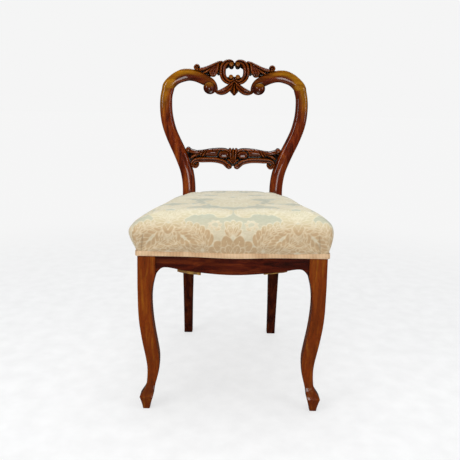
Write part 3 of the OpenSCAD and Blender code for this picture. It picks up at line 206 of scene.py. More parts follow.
# front leg: height, outer edge and inner edge in from the corner
FRONT_LEG = [
    (0, 9.8, 26.4), (6, 8.9, 27.6), (12, 7.8, 28.9), (20, 6, 30.9), (27, 4.3, 32.9), (32.6, 2.8, 34.6),
    (34, 3.1, 34.9), (40, 6.6, 35.6), (47, 11.4, 36.6), (54, 15.4, 38), (62, 17.8, 40), (76, 19.2, 43.6),
    (88, 19.8, 46), (102, 19.7, 47.7), (118, 18.3, 48.6), (137, 15.6, 48), (168, 10.6, 43.8),
    (198, 6.4, 39.4), (228, 3, 35.8), (258, 1.2, 33.4), (284, .6, 32.6), (306, .2, 34), (322, 0, 36.6),
    (334, 0, 39.6), (345, 0, 42), (352, 0, 42), (390, 0, 42), (425, 0, 42)]
# lower edge of the front rail, from the middle outwards
RAIL_EDGE = [
    (0, 350.4), (40, 350.6), (75, 351.4), (104, 353.2), (122, 355.6), (136, 358.4), (148, 360.6),
    (157, 361.4), (164, 360.6), (169.4, 357.8), (173.6, 353.6), (176.8, 349.4), (179.2, 345.8),
    (180.4, 343.6), (181, 342.6)]


def at(x, y, z):
    """Place in the shared frame of a point given in millimetres from the front posts."""
    return Vector((x * MM, (y - DEPTH_MIDDLE) * MM, z * MM))


def spread(x):
    """Distance from the middle in the hoop's arms, which stand a little wider than they were drawn."""
    return x + ARM_SPREAD * ease(70, 135, x) - (ARM_SPREAD - STILE_SPREAD) * ease(150, 215, x)


def lean(z):
    """Depth of the hoop's front at a height: it leans back evenly."""
    return 401 + 0.2 * (z - 540)


def smooth_row(rows, t, closed=False):
    """Row at place t on a smooth curve through a table of rows."""
    count = len(rows)
    i = int(t) if closed else min(int(t), count - 2)
    f = t - i
    if closed:
        p, q, r, s = (rows[(i + k) % count] for k in (-1, 0, 1, 2))
    else:
        p, q, r, s = (rows[max(0, min(count - 1, i + k))] for k in (-1, 0, 1, 2))
    return [
        (2 * b + (c - a) * f + (2 * a - 5 * b + 4 * c - d) * f * f + (3 * b - a - 3 * c + d) * f ** 3) / 2
        for a, b, c, d in zip(p, q, r, s)]


def round_place(outline, u):
    """Place on a closed outline at a share of the way round."""
    return smooth_row(outline, u * len(outline) % len(outline), closed=True)


def mix(a, b, t):
    return a + (b - a) * t


def ease(low, high, value):
    """Smooth step from 0 at low to 1 at high, which may be the smaller one."""
    t = max(0.0, min(1.0, (value - low) / (high - low)))
    return t * t * (3 - 2 * t)


def bow(x):
    """Share of the front rail's bow at a distance from its middle."""
    reach = HALF_FRONT * 0.55
    return math.cos(math.pi / 2 * x / reach) ** 2 if abs(x) < reach else 0.0


def shaped_grid(bm, across, along, place, tone=None):
    """Adds a grid, moves each point to place(u, v), with u and v from 0 to 1, and gives it its tone(u, v)."""
    layer = bm.verts.layers.float.get("tone") or bm.verts.layers.float.new("tone")
    points = bmesh.ops.create_grid(bm, x_segments=across, y_segments=along, size=0.5)["verts"]
    for point in points:
        u, v = point.co.x + 0.5, point.co.y + 0.5
        point.co = place(u, v)
        if tone:
            point[layer] = tone(u, v)
    return points


def close_mesh(bm, merge=0.00002):
    """Merges the seams, fills the open ends and turns every face outwards. The carving is still in
    millimetres then, and all else in metres."""
    bmesh.ops.remove_doubles(bm, verts=bm.verts, dist=merge)
    rims = [edge for edge in bm.edges if edge.is_boundary]
    if rims:
        bmesh.ops.holes_fill(bm, edges=rims, sides=0)
    bmesh.ops.recalc_face_normals(bm, faces=bm.faces)


def mesh_of(bm, name):
    mesh = bpy.data.meshes.new(name)
    bm.to_mesh(mesh)
    bm.free()
    return mesh


def new_piece(name, mesh, material, replaced=(), crease=None):
    """Links a finished mesh as a piece of the chair, with its finish and its place in the frame."""
    mesh.polygons.foreach_set("use_smooth", [True] * len(mesh.polygons))
    if crease:
        mesh.set_sharp_from_angle(angle=math.radians(crease))
    piece = bpy.data.objects.new(name, mesh)
    bpy.context.scene.collection.objects.link(piece)
    mesh.materials.clear()
    mesh.materials.append(material)
    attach(piece, "root")
    if replaced:
        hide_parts(*replaced)
    return piece


def evaluated_mesh(mesh, name, change):
    """Mesh after the modifier that change(object) adds."""
    carrier = bpy.data.objects.new(name, mesh)
    bpy.context.scene.collection.objects.link(carrier)
    change(carrier)
    bpy.context.view_layer.update()
    result = bpy.data.meshes.new_from_object(carrier.evaluated_get(bpy.context.evaluated_depsgraph_get()))
    bpy.data.objects.remove(carrier)
    return result


# materials

def linear(hex_colour):
    """Linear colour of an sRGB hex value."""
    shares = [int(hex_colour[i:i + 2], 16) / 255 for i in (1, 3, 5)]
    return [s / 12.92 if s <= 0.04045 else ((s + 0.055) / 1.055) ** 2.4 for s in shares] + [1.0]


def add_node(tree, kind, inputs=None, stops=None, **settings):
    """Adds a node, sets its properties, sockets and ramp, and links the sockets that are given outputs."""
    node = tree.nodes.new(kind)
    for key, value in settings.items():
        setattr(node, key, value)
    for key, value in (inputs or {}).items():
        if isinstance(value, bpy.types.NodeSocket):
            tree.links.new(value, node.inputs[key])
        else:
            node.inputs[key].default_value = value
    if stops:
        ramp = node.color_ramp.elements
        while len(ramp) < len(stops):
            ramp.new(0.5)
        for element, (place, colour) in zip(ramp, stops):
            element.position = place
            element.color = [colour] * 3 + [1] if isinstance(colour, (int, float)) else colour
    return node


def layered(tree, colour, *layers):
    """Colour under layers, each given by its share, its colour and, unless it is mixed in, its blend type."""
    for share, layer, *kind in layers:
        mixed = add_node(tree, "ShaderNodeMix", {0: share, 6: colour, 7: layer}, data_type="RGBA",
                         blend_type=kind[0] if kind else "MIX")
        colour = mixed.outputs[2]
    return colour


def new_material(name, **sockets):
    """Material with one surface shader, whose constant sockets are set here."""
    material = bpy.data.materials.new(name)
    material.use_nodes = True
    tree = material.node_tree
    tree.nodes.clear()
    shader = add_node(tree, "ShaderNodeBsdfPrincipled")
    for key, value in sockets.items():
        shader.inputs[key.replace("_", " ")].default_value = value
    output = add_node(tree, "ShaderNodeOutputMaterial")
    tree.links.new(shader.outputs[0], output.inputs[0])
    return material, tree, shader


def noise(tree, size, detail=2.0, stretch=(1, 1, 1), roughness=0.5, distortion=0.0):
    """Noise on the object's own coordinates: a patch about every size, in metres, longer along a stretch."""
    place = add_node(tree, "ShaderNodeTexCoord").outputs["Object"]
    scales = [1 / (size * s) for s in stretch]
    scaled = add_node(tree, "ShaderNodeMapping", {"Vector": place, "Scale": scales}).outputs[0]
    sockets = {"Vector": scaled, "Scale": 1.0, "Detail": detail, "Roughness": roughness,
               "Distortion": distortion}
    return add_node(tree, "ShaderNodeTexNoise", sockets).outputs[0]


def polished_mahogany(name, colours, grain, gloss, clear=0.9):
    """French polished mahogany: ribbon figure about 12 mm wide, and pores along the grain, drawn 0.9 mm wide
    so that they show. Shade is painted dark in the hollows, and amber is painted as light where the tone is
    high, with the stain worn thin there, and the raised edges get a painted highlight. A skin of shellac
    gives sharp lights over a softer gloss."""
    material, tree, shader = new_material(name, IOR=1.5, Specular_IOR_Level=0.05, Coat_Weight=clear,
                                          Coat_Roughness=0.08, Coat_IOR=1.5)
    stretch = [14 if axis == grain else 1 for axis in "xyz"]
    figure = noise(tree, 0.012, 5.0, stretch, 0.6, 0.6)
    pores = noise(tree, 0.0009, 2.0, stretch)
    clouds = noise(tree, 0.06, 1.0)
    deep, body, warm = colours
    # painted light: the amber that the tone mixes in, where light falls on the upper sides of the hoop and
    # the balls, with the stain worn thin there
    lit_and_rubbed = bpy.context.scene.chair_frame.amber[:]
    wood = add_node(tree, "ShaderNodeValToRGB", {"Fac": figure},
                    stops=[(0.3, deep), (0.5, body), (0.72, warm)])
    amber = add_node(tree, "ShaderNodeValToRGB", {"Fac": figure},
                     stops=[(0.3, linear("#743c06")), (0.5, lit_and_rubbed), (0.72, linear("#a87012"))])
    tone, painted_shade, edge = (add_node(tree, "ShaderNodeAttribute", attribute_name=kind).outputs["Fac"]
                          for kind in ("tone", "painted_shade", "edge"))
    patchy = add_node(tree, "ShaderNodeMapRange", {
        "Value": clouds, "From Min": 0.35, "From Max": 0.7, "To Min": 0.0, "To Max": 0.3}).outputs[0]
    pore_share = add_node(tree, "ShaderNodeMapRange", {
        "Value": pores, "From Min": 0.32, "From Max": 0.46, "To Min": 0.5, "To Max": 0.0}).outputs[0]
    # painted highlight: lighter orange on the raised edges of the carving
    edge_highlight = add_node(tree, "ShaderNodeMath", {0: edge, 1: 0.34}, operation="MULTIPLY").outputs[0]
    # last layer: painted shade, near black, in the carving's grooves and side walls, round the balls and on
    # the legs low down
    colour = layered(tree, wood.outputs[0], (tone, amber.outputs[0]), (patchy, deep),
                     (pore_share, linear("#6a3a22"), "MULTIPLY"), (edge_highlight, linear("#96500f")),
                     (painted_shade, linear("#0a0100")))
    tree.links.new(colour, shader.inputs["Base Color"])
    rough = add_node(tree, "ShaderNodeMapRange", {"Value": figure, "To Min": gloss, "To Max": gloss + 0.2})
    tree.links.new(rough.outputs[0], shader.inputs["Roughness"])
    bump = add_node(tree, "ShaderNodeBump", {"Strength": 0.12, "Distance": 0.0002, "Height": pores})
    tree.links.new(bump.outputs[0], shader.inputs["Normal"])
    return material


def planed_beech(name, grain):
    """Planed beech, unpolished and darkened by age: pale, with flecks drawn wide enough to show."""
    material, tree, shader = new_material(name, IOR=1.5)
    stretch = [8 if axis == grain else 1 for axis in "xyz"]
    flecks = noise(tree, 0.0012, 1.0, stretch)
    figure = noise(tree, 0.01, 4.0, stretch, 0.6, 0.4)
    wood = add_node(tree, "ShaderNodeValToRGB", {"Fac": figure},
                    stops=[(0.3, linear("#8a6238")), (0.55, linear("#ab8150")), (0.75, linear("#bd9562"))])
    fleck = add_node(tree, "ShaderNodeMapRange", {
        "Value": flecks, "From Min": 0.6, "From Max": 0.7, "To Max": 0.5})
    colour = layered(tree, wood.outputs[0], (fleck.outputs[0], linear("#6e4826")))
    tree.links.new(colour, shader.inputs["Base Color"])
    rough = add_node(tree, "ShaderNodeMapRange", {"Value": flecks, "To Min": 0.5, "To Max": 0.75})
    tree.links.new(rough.outputs[0], shader.inputs["Roughness"])
    bump = add_node(tree, "ShaderNodeBump", {"Strength": 0.2, "Distance": 0.0003, "Height": flecks})
    tree.links.new(bump.outputs[0], shader.inputs["Normal"])
    return material


def silk_damask():
    """Silk and cotton damask: a satin ground with the figure in a matter weave, each petal outlined in ivory
    thread. Painted sheen makes the two weaves change places in brightness as the cloth turns down over the
    edge. Threads are 0.3 mm apart in the cloth, and their bump is drawn at 1.4 mm so that it shows."""
    look = bpy.context.scene.chair_seat
    material, tree, shader = new_material("Silk and cotton damask", IOR=1.45, Sheen_Weight=0.25,
                                          Sheen_Roughness=0.5)
    motif, thread, steep, pleat_shade = (add_node(tree, "ShaderNodeAttribute", attribute_name=name).outputs["Fac"]
                                   for name in ("motif", "thread", "steep", "pleat_shade"))
    figure = add_node(tree, "ShaderNodeMapRange", {
        "Value": motif, "From Min": -0.5, "From Max": 0.7}).outputs[0]
    drawn = add_node(tree, "ShaderNodeMapRange", {
        "Value": thread, "From Min": 0.3, "From Max": 1.6, "To Min": 0.6, "To Max": 0.0}).outputs[0]
    uneven = noise(tree, 0.045, 3.0)
    shade = add_node(tree, "ShaderNodeMapRange", {
        "Value": uneven, "From Min": 0.3, "From Max": 0.7, "To Max": 0.16}).outputs[0]
    slub = noise(tree, 0.0014, 1.0, (6, 1, 6))
    slubs = add_node(tree, "ShaderNodeMapRange", {
        "Value": slub, "From Min": 0.35, "From Max": 0.65, "To Max": 0.14}).outputs[0]
    # painted sheen: each weave is mixed from its flat colour to its edge colour by how steeply the cloth
    # turns down
    ground = layered(tree, look.ground_top[:], (steep, look.ground_front[:]))
    petals = layered(tree, look.figure_top[:], (steep, look.figure_front[:]))
    ivory = layered(tree, linear("#ded8c4"), (steep, linear("#d2c6aa")))
    # last layer: painted shade along the pleats
    colour = layered(tree, ground, (figure, petals), (drawn, ivory), (shade, linear("#b99a72")),
                     (slubs, linear("#a58f6b"), "MULTIPLY"), (pleat_shade, linear("#7c6444")))
    tree.links.new(colour, shader.inputs["Base Color"])
    rough = add_node(tree, "ShaderNodeMapRange", {"Value": figure, "To Min": 0.42, "To Max": 0.66})
    tree.links.new(rough.outputs[0], shader.inputs["Roughness"])
    raised = add_node(tree, "ShaderNodeMath", {0: figure, 1: slub}, operation="ADD").outputs[0]
    bump = add_node(tree, "ShaderNodeBump", {"Strength": 0.35, "Distance": 0.0005, "Height": raised})
    tree.links.new(bump.outputs[0], shader.inputs["Normal"])
    return material


def woven_cloth(name, thread, gap, pitch):
    """Plain woven jute: two waves at right angles, with a thread every pitch, and dirt in patches."""
    material, tree, shader = new_material(name, IOR=1.45, Sheen_Weight=0.2, Roughness=0.9)
    place = add_node(tree, "ShaderNodeTexCoord").outputs["Object"]
    bands_in_a_unit = 3.183
    sockets = {"Vector": place, "Scale": 1 / (pitch * bands_in_a_unit), "Distortion": 0.6, "Detail": 1.0,
               "Detail Scale": 2.0}
    waves = [add_node(tree, "ShaderNodeTexWave", sockets, bands_direction=axis).outputs["Fac"]
             for axis in "XY"]
    weave = add_node(tree, "ShaderNodeMath", {0: waves[0], 1: waves[1]}, operation="MULTIPLY").outputs[0]
    dirt = noise(tree, 0.02, 3.0)
    share = add_node(tree, "ShaderNodeMapRange", {
        "Value": dirt, "From Min": 0.35, "From Max": 0.7, "To Max": 0.35}).outputs[0]
    tree.links.new(layered(tree, gap, (weave, thread), (share, gap)), shader.inputs["Base Color"])
    bump = add_node(tree, "ShaderNodeBump", {"Strength": 0.6, "Distance": 0.0006, "Height": weave})
    tree.links.new(bump.outputs[0], shader.inputs["Normal"])
    return material


def ribbed_gimp():
    """Cotton gimp: cords wound across a flat core, with painted light on each rib and painted shade between
    the ribs.
    """
    look = bpy.context.scene.chair_seat
    material, tree, shader = new_material("Cotton gimp", IOR=1.45, Roughness=0.85, Sheen_Weight=0.2)
    rib = add_node(tree, "ShaderNodeAttribute", attribute_name="rib").outputs["Fac"]
    fade = noise(tree, 0.03, 2.0)
    share = add_node(tree, "ShaderNodeMapRange", {
        "Value": fade, "From Min": 0.35, "From Max": 0.7, "To Max": 0.35}).outputs[0]
    # painted shade between the ribs, rising to the gimp colour on each rib, and paler where it has faded
    colour = layered(tree, linear("#94704c"), (rib, look.gimp[:]), (share, linear("#efd6b2")))
    tree.links.new(colour, shader.inputs["Base Color"])
    return material


def old_metal(name, colour, rust, roughness):
    """Drawn or turned steel gone dull: dark oxide with brown rust in patches about 8 mm across."""
    material, tree, shader = new_material(name, Metallic=0.85)
    patches = noise(tree, 0.008, 4.0)
    share = add_node(tree, "ShaderNodeMapRange", {
        "Value": patches, "From Min": 0.45, "From Max": 0.65}).outputs[0]
    tree.links.new(layered(tree, colour, (share, rust)), shader.inputs["Base Color"])
    rough = add_node(tree, "ShaderNodeMapRange", {
        "Value": patches, "To Min": roughness, "To Max": roughness + 0.3})
    tree.links.new(rough.outputs[0], shader.inputs["Roughness"])
    return material


# shapes of the frame

def leg_section(roundness):
    """Loop of a back leg's outline, from square to round, as points across and from front to back."""
    return [(mix(a[0], b[0], roundness), mix(a[1], b[1], roundness)) for a, b in zip(SQUARE_LEG, ROUND_LEG)]


def stile_mesh(side):
    bm = bmesh.new()
    last = len(STILE) - 1

    def place(u, v):
        z, outer, inner, front, depth, roundness = smooth_row(STILE, v * last)
        across, back = round_place(leg_section(max(0.0, min(1.0, roundness))), u)
        x = mix(inner, outer, across) + STILE_SPREAD * ease(600, 770, z)
        return at(side * x, front + depth * back, z)

    # painted light: amber towards the top of the stile on its outer side, with the stain worn thin there
    def tone(u, v):
        z = smooth_row(STILE, v * last)[0]
        return ease(690, 780, z) * ease(0.1, 0.75, round_place(ROUND_LEG, u)[0]) * 0.9
    shaped_grid(bm, 64, last * 6, place, tone)
    # painted shade: the legs are darker below the seat, which shades them
    painted_shade = bm.verts.layers.float.new("painted_shade")
    for point in bm.verts:
        point[painted_shade] = 0.66 * ease(0.43, 0.36, point.co.z)
    close_mesh(bm)
    return mesh_of(bm, "back_leg")


def front_leg_mesh(side):
    bm = bmesh.new()
    last = len(FRONT_LEG) - 1

    def place(u, v):
        z, low, high = smooth_row(FRONT_LEG, v * last)
        near, far = low + ARRIS, high - ARRIS
        corners = [(far, near), (far, far), (near, far), (near, near)]
        quarter, share = int(u * 4) % 4, (u * 4) % 1
        # round the corner first, and then along the face to the next one
        turned, along = min(1.0, share / 0.6), max(0.0, (share - 0.6) / 0.4)
        angle = math.radians(90 * (quarter - 1 + turned))
        (x, y), (next_x, next_y) = corners[quarter], corners[(quarter + 1) % 4]
        x = mix(x, next_x, along) + ARRIS * math.cos(angle)
        y = mix(y, next_y, along) + ARRIS * math.sin(angle)
        rake = 8 * max(0.0, min(1.0, 1 - z / 331.5)) ** 2
        return at(side * (HALF_FRONT - x), y + rake, z)
    shaped_grid(bm, 40, last * 5, place)
    # painted shade: the foot block and the ankle over it are darker
    painted_shade = bm.verts.layers.float.new("painted_shade")
    for point in bm.verts:
        height = point.co.z / MM
        point[painted_shade] = 0.22 * ease(36, 31, height) + 0.3 * ease(30, 40, height) * ease(75, 45, height)
    close_mesh(bm)
    return mesh_of(bm, "front_leg")


def front_rail_mesh():
    bm = bmesh.new()
    last = len(RAIL_EDGE) - 1
    bend = ARRIS * .3

    def place(u, v):
        x, low = smooth_row(RAIL_EDGE, abs(v - 0.5) * 2 * last)
        x *= -1 if v < 0.5 else 1
        face, cover, back = 8 - 17 * bow(x), -10.2 * bow(x), 30 - 17 * bow(x)
        top = RAIL_TOP - 0.5
        loop = [(face + ARRIS, low), (face + bend, low + bend), (face, low + ARRIS),
                (face, mix(low, SHOW_LINE, .33)), (face, mix(low, SHOW_LINE, .66)), (face, SHOW_LINE - 0.6),
                (face, SHOW_LINE), (cover, SHOW_LINE), (cover, top), (back, top), (back, SHOW_LINE),
                (back, low + ARRIS), (back - bend, low + bend), (back - ARRIS, low), (face + ARRIS, low)]
        y, z = loop[round(u * 14)]
        return at(x, y, z)
    shaped_grid(bm, 14, last * 10, place)
    close_mesh(bm)
    return mesh_of(bm, "front_rail")


def softened_copy(node, width):
    """Copy of a plain CAD node with its loose triangles merged and its edges softened by hand planing."""
    bm = bmesh.new()
    bm.from_mesh(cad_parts[node].data)
    bmesh.ops.remove_doubles(bm, verts=bm.verts, dist=0.00001)
    bmesh.ops.dissolve_limit(bm, angle_limit=math.radians(1), verts=bm.verts, edges=bm.edges)
    edges = [e for e in bm.edges if len(e.link_faces) == 2 and e.calc_face_angle(0) > math.radians(50)
             and e.calc_length() > 0.02]
    bmesh.ops.bevel(bm, geom=edges, offset=width, offset_type="OFFSET", affect="EDGES", segments=2,
                    profile=0.5, material=-1, clamp_overlap=True)
    bmesh.ops.recalc_face_normals(bm, faces=bm.faces)
    return mesh_of(bm, node)


# carving

def relief_of(run, grid_x, grid_z, inside, edge_height, height):
    """Lays a carved run over a board's fields: depth inside the outline in mm, height of the nearest run, and
    height of the relief."""
    rows, relief = run
    samples = [smooth_row(rows, t) for t in np.linspace(0, len(rows) - 1 - 1e-6, 12 * len(rows))]
    reach = max(row[2] for row in samples) / 2 + 2.5
    spans = []
    for line, axis in ((grid_z[:, 0], 1), (grid_x[0], 0)):
        places = [row[axis] for row in samples]
        spans.append(slice(*np.searchsorted(line, (min(places) - reach, max(places) + reach))))
    window = tuple(spans)
    px, pz = grid_x[window], grid_z[window]
    depth, across, rise = np.full(px.shape, -99.0), np.zeros(px.shape), np.zeros(px.shape)
    for i, (x, z, width, share) in enumerate(samples):
        before, after = samples[max(0, i - 1)], samples[min(len(samples) - 1, i + 1)]
        tx, tz = after[0] - before[0], after[1] - before[1]
        dx, dz = px - x, pz - z
        away = np.hypot(dx, dz)
        nearer = width / 2 - away > depth
        depth[nearer] = (width / 2 - away)[nearer]
        across[nearer] = (np.where(tx * dz - tz * dx > 0, -away, away) / (width / 2))[nearer]
        rise[nearer] = share
    relief_here = np.interp(across, *zip(*relief)) * rise
    outer = depth > inside[window]
    edge_height[window] = np.where(outer, relief_here, edge_height[window])
    inside[window] = np.maximum(inside[window], depth)
    height[window] = np.where(depth >= 0, relief_here, height[window])


def softened(field, weight, passes):
    """Field spread over its neighbours, inside the board only."""
    top, bottom = field * weight, weight.astype(float)
    for _ in range(passes):
        for axis in (0, 1):
            top = (np.roll(top, 1, axis) + 2 * top + np.roll(top, -1, axis)) / 4
            bottom = (np.roll(bottom, 1, axis) + 2 * bottom + np.roll(bottom, -1, axis)) / 4
    return top / np.maximum(bottom, 1e-6)


def carved_fields(box, cell, runs, full, groove):
    """Grid of a board and its fields, mirrored about the middle: depth inside the outline, height of the
    relief, painted shade in the grooves and on the low boards, and a painted highlight on the raised edges."""
    half, low, high = box
    columns, rows = 2 * round(half / cell), round((high - low) / cell)
    grid_x, grid_z = np.meshgrid(np.linspace(-half, half, columns + 1), np.linspace(low, high, rows + 1))
    inside, edge_height, height = (np.full(grid_x.shape, value) for value in (-9.0, 0.0, 0.0))
    for run in runs:
        relief_of(run, grid_x, grid_z, inside, edge_height, height)
    mirrored = inside[:, ::-1]
    edge_height = np.where(mirrored > inside, edge_height[:, ::-1], edge_height)
    inside, height = np.maximum(inside, mirrored), np.maximum(height, height[:, ::-1])
    height = np.where(inside >= 0, height, edge_height)
    board = inside > -cell
    height = softened(height, board, 2)
    # below the level of what lies within 9 mm, in depths of a groove
    sunk = (softened(height, board, round(9 / cell)) - height) * full / groove
    # painted shade, where the relief lies below what surrounds it and on the low boards
    stain = np.maximum(sunk, np.interp(height, (0.42, 0.64), (0.95, 0)))
    fields = {"height": height, "painted_shade": np.clip(stain, 0, 1), "edge": np.clip(-sunk, 0, 1)}
    return grid_x, grid_z, inside, fields


def follow_outline(rim, places, inside, cell):
    """Moves the points of the sawn edge from the grid to the outline, and smooths it."""
    slope_z, slope_x = np.gradient(inside, cell)
    for point in rim:
        j = places[point]
        steep = max(0.25, slope_x[j] ** 2 + slope_z[j] ** 2)
        step = max(-cell, min(cell, inside[j] / steep))
        point.co.x -= step * slope_x[j]
        point.co.z -= step * slope_z[j]
    for _ in range(8):
        moved = {}
        for point in rim:
            near = [edge.other_vert(point) for edge in point.link_edges if edge.is_boundary]
            moved[point] = (point.co * 2 + sum((other.co for other in near), Vector())) / (2 + len(near))
        for point, place in moved.items():
            point.co = place


def carved_board(bm, box, cell, runs, full, groove):
    """Adds a board, in millimetres, carved in relief on both sides of its middle line. The runs stand forward
    of its back by shares of the full thickness."""
    grid_x, grid_z, inside, fields = carved_fields(box, cell, runs, full, groove)
    rows, columns = (count - 1 for count in inside.shape)
    layers = {name: bm.verts.layers.float.get(name) or bm.verts.layers.float.new(name)
              for name in ("height", "painted_shade", "edge", "tone")}
    points = bmesh.ops.create_grid(bm, x_segments=columns, y_segments=rows, size=0.5)["verts"]
    faces = {face for point in points for face in point.link_faces}
    places = {point: (round((point.co.y + 0.5) * rows), round((point.co.x + 0.5) * columns))
              for point in points}
    waste = [face for face in faces if sum(inside[places[point]] for point in face.verts) <= 0]
    kept = faces - set(waste)
    for point, j in places.items():
        point.co = (grid_x[j], 0, grid_z[j])
        for name, field in fields.items():
            point[layers[name]] = field[j]
    bmesh.ops.delete(bm, geom=waste, context="FACES")
    rim = {point for face in kept for point in face.verts if point.is_boundary}
    follow_outline(rim, places, inside, cell)
    front = bmesh.ops.extrude_face_region(bm, geom=list(kept), use_keep_orig=True)["geom"]
    # the original points go to the back; those on the rim take painted shade, which darkens the sawn side
    # walls towards the back
    for point in {point for face in kept for point in face.verts}:
        point.co.y = full
        point[layers["painted_shade"]] = 0.75 if point in rim else 0
    for item in front:
        if isinstance(item, bmesh.types.BMVert):
            item.co.y = full * (1 - item[layers["height"]])


def boss(bm, side, x, z, radius, front, back, dome):
    """Round boss on one side, turned about an axis from front to back."""
    middle = side * x
    angles = [math.pi / 2 * k / 10 for k in range(11)]
    profile = [(radius * math.sin(a), front + dome * (1 - math.cos(a))) for a in angles]
    profile += [(radius, back), (0, back)]
    points = [bm.verts.new((middle + r, depth, z)) for r, depth in profile]
    edges = [bm.edges.new(pair) for pair in zip(points, points[1:])]
    bmesh.ops.spin(bm, geom=points + edges, cent=(middle, 0, z), axis=(0, 1, 0), angle=2 * math.pi, steps=32,
                   use_merge=True)


def paint_ball_light_and_shade(bm):
    """Paints light and shade on the volute balls: amber above as painted light, with the stain worn thin
    there, and painted shade below, at their rims and in the groove where they meet the arms.
    """
    x, z, radius = VOLUTE_BALL[:3]
    painted_shade, tone = (bm.verts.layers.float.get(name) for name in ("painted_shade", "tone"))
    for point in bm.verts:
        right, up = abs(point.co.x) - x, point.co.z - z
        away = math.hypot(right, up)
        if away > radius * 1.002:
            point[painted_shade] = max(point[painted_shade], 0.9 * ease(radius + 3, radius + 0.6, away))
        else:
            point[painted_shade] = max(0.7 * ease(radius - 2, radius, away), 0.35 * ease(4, -14, up))
            point[tone] = 0.7 * ease(-2, 13, up)


def arm(bm, side):
    """Arm of the hoop, from its joint with the stile to its volute."""
    last = len(ARM) - 1

    def place(u, v):
        outer_x, outer_z, inner_x, inner_z = smooth_row(ARM, v * last)
        inner_z -= 2.6 * ease(0.1, 0.35, v) * ease(0.8, 0.6, v)
        share, depth = round_place(ROUND_LEG, u)
        x, z = mix(inner_x, outer_x, share), mix(inner_z, outer_z, share)
        return Vector((side * spread(x), depth * HOOP_THICKNESS, z))

    # painted light: amber on the arm's upper, outer half, with the stain worn thin there, fading out towards
    # the volute
    def tone(u, v):
        start = ease(0, 0.3, v)
        lit_and_rubbed = ease(mix(-0.4, 0.42, start), mix(0.35, 0.66, start), round_place(ROUND_LEG, u)[0])
        return lit_and_rubbed * (1 - 0.85 * ease(0.42, 0.66, v))
    shaped_grid(bm, 64, last * 8, place, tone)


def leaning(bm):
    """Leans flat carving back with the hoop and puts it in its place."""
    for point in bm.verts:
        point.co = at(point.co.x, lean(point.co.z) + point.co.y, point.co.z)


def eye_run(x, z, radius, height):
    """Carved run that makes a round eye."""
    return [(x, z, radius * 2, height), (x, z - 0.01, radius * 2, height)], EYE


def crest_mesh(cell):
    bm = bmesh.new()
    runs = [(rows, ROOF) for rows in CREST_BOARDS]
    runs += [(rows, LOBE) for rows in WING_LEAVES] + [(rows, SOFT_REED) for rows in DROP_REEDS]
    runs += [(WING_CURL, BEAD), (C_SCROLL, COVE), (SWAG_LEAF, FOLD), (BUD, SPINE)]
    runs += [eye_run(*eye) for eye in SCROLL_EYES + [CURL_EYE]]
    carved_board(bm, CREST_BOX, cell, runs, CREST_GROUND, CREST_GROOVE)
    tone = bm.verts.layers.float["tone"]
    for point in bm.verts:
        for x, z, radius, _ in SCROLL_EYES:
            away = math.hypot(abs(point.co.x) - x, point.co.z - z)
            point[tone] = max(point[tone], 0.55 * ease(radius, radius * 0.6, away))
    for side in (1, -1):
        arm(bm, side)
        boss(bm, side, *VOLUTE_BED)
        boss(bm, side, *VOLUTE_BALL)
    paint_ball_light_and_shade(bm)
    close_mesh(bm, 0.01)
    leaning(bm)
    return mesh_of(bm, "crest_rail")


def cross_mesh(cell):
    bm = bmesh.new()
    runs = [(rows, ROOF) for rows in RAIL_BOARDS]
    runs += [(CURL_BED, FLAT), (REEDED_BAND, REEDS)]
    runs += [(rows, LOBE) for rows in RAIL_LEAVES]
    # the boss lies over the leaves beside it, and the leaves of the middle over the boss
    runs += [(BOSS_HOLLOW, FLAT), (RAIL_BOSS, EYE)]
    runs += [(rows, LOBE) for rows in MIDDLE_LEAVES]
    runs += [(PALMETTE, RIDGE)] + [eye_run(*eye) for eye in RAIL_EYES]
    carved_board(bm, RAIL_BOX, cell, runs, RAIL_BACK - RAIL_FRONT, RAIL_GROOVE)
    close_mesh(bm, 0.01)
    for point in bm.verts:
        point.co.y += RAIL_FRONT
    leaning(bm)
    return mesh_of(bm, "cross_rail")


# seat

def seat_outline():
    """Loop of the seat's edge in points 1 to 8 mm apart: x, y, outward direction and share of the bulge."""
    def side_at(y):
        return 226.0 if y < POST else mix(226.0, 153.0, (y - POST) / (SEAT_BACK - POST))
    half = [(x, -3 - 10.2 * bow(x), 0, -1, 1) for x in np.linspace(0, 218, 28)]
    half += [(220.5 + 5.5 * math.cos(a), 2.5 + 5.5 * math.sin(a), math.cos(a), math.sin(a), 1)
             for a in np.radians([-75, -60, -45, -30, -15, 0])]
    half += [(side_at(y), y, 1, 0, 1 - 0.35 * ((y - POST) / 350) ** 4 if y > POST else 1)
             for y in np.linspace(12, SEAT_BACK, 48)]
    half += [(x, SEAT_BACK, 1, 1, 0) for x in np.linspace(145, 112.7, 5)]
    half += [(112.7, y, 1, 1, 0) for y in np.linspace(398, 421, 4)]
    half += [(x, 421, 0, 1, 0.25) for x in np.linspace(104, 0, 13)]
    return half + [(-x, y, -nx, ny, b) for x, y, nx, ny, b in reversed(half[1:-1])]


# cover from its hem over the bulge to the crown: height, bulge, share of the way in to the middle
COVER_PROFILE = [
    (393, 0, 0), (404.5, 0, 0), (416, 4.4, 0), (429, 9.2, 0), (441, 12.4, 0), (451, 13, 0), (461, 10.6, 0),
    (468, 6, 0), (476, 1.5, .03), (484.5, 0, .1), (491.5, 0, .2), (496.6, 0, .36), (499, 0, .6),
    (500, 0, .96)]


def settled(x, y):
    """Extra bulge at a place of the edge and rise of the crown there: the old stuffing has moved to the left
    front corner and along the right side."""
    front = ease(260, 60, y)
    return (4.0 * front if x < 0 else mix(3.0, -5.5, front)), 3.2 * x / HALF_FRONT


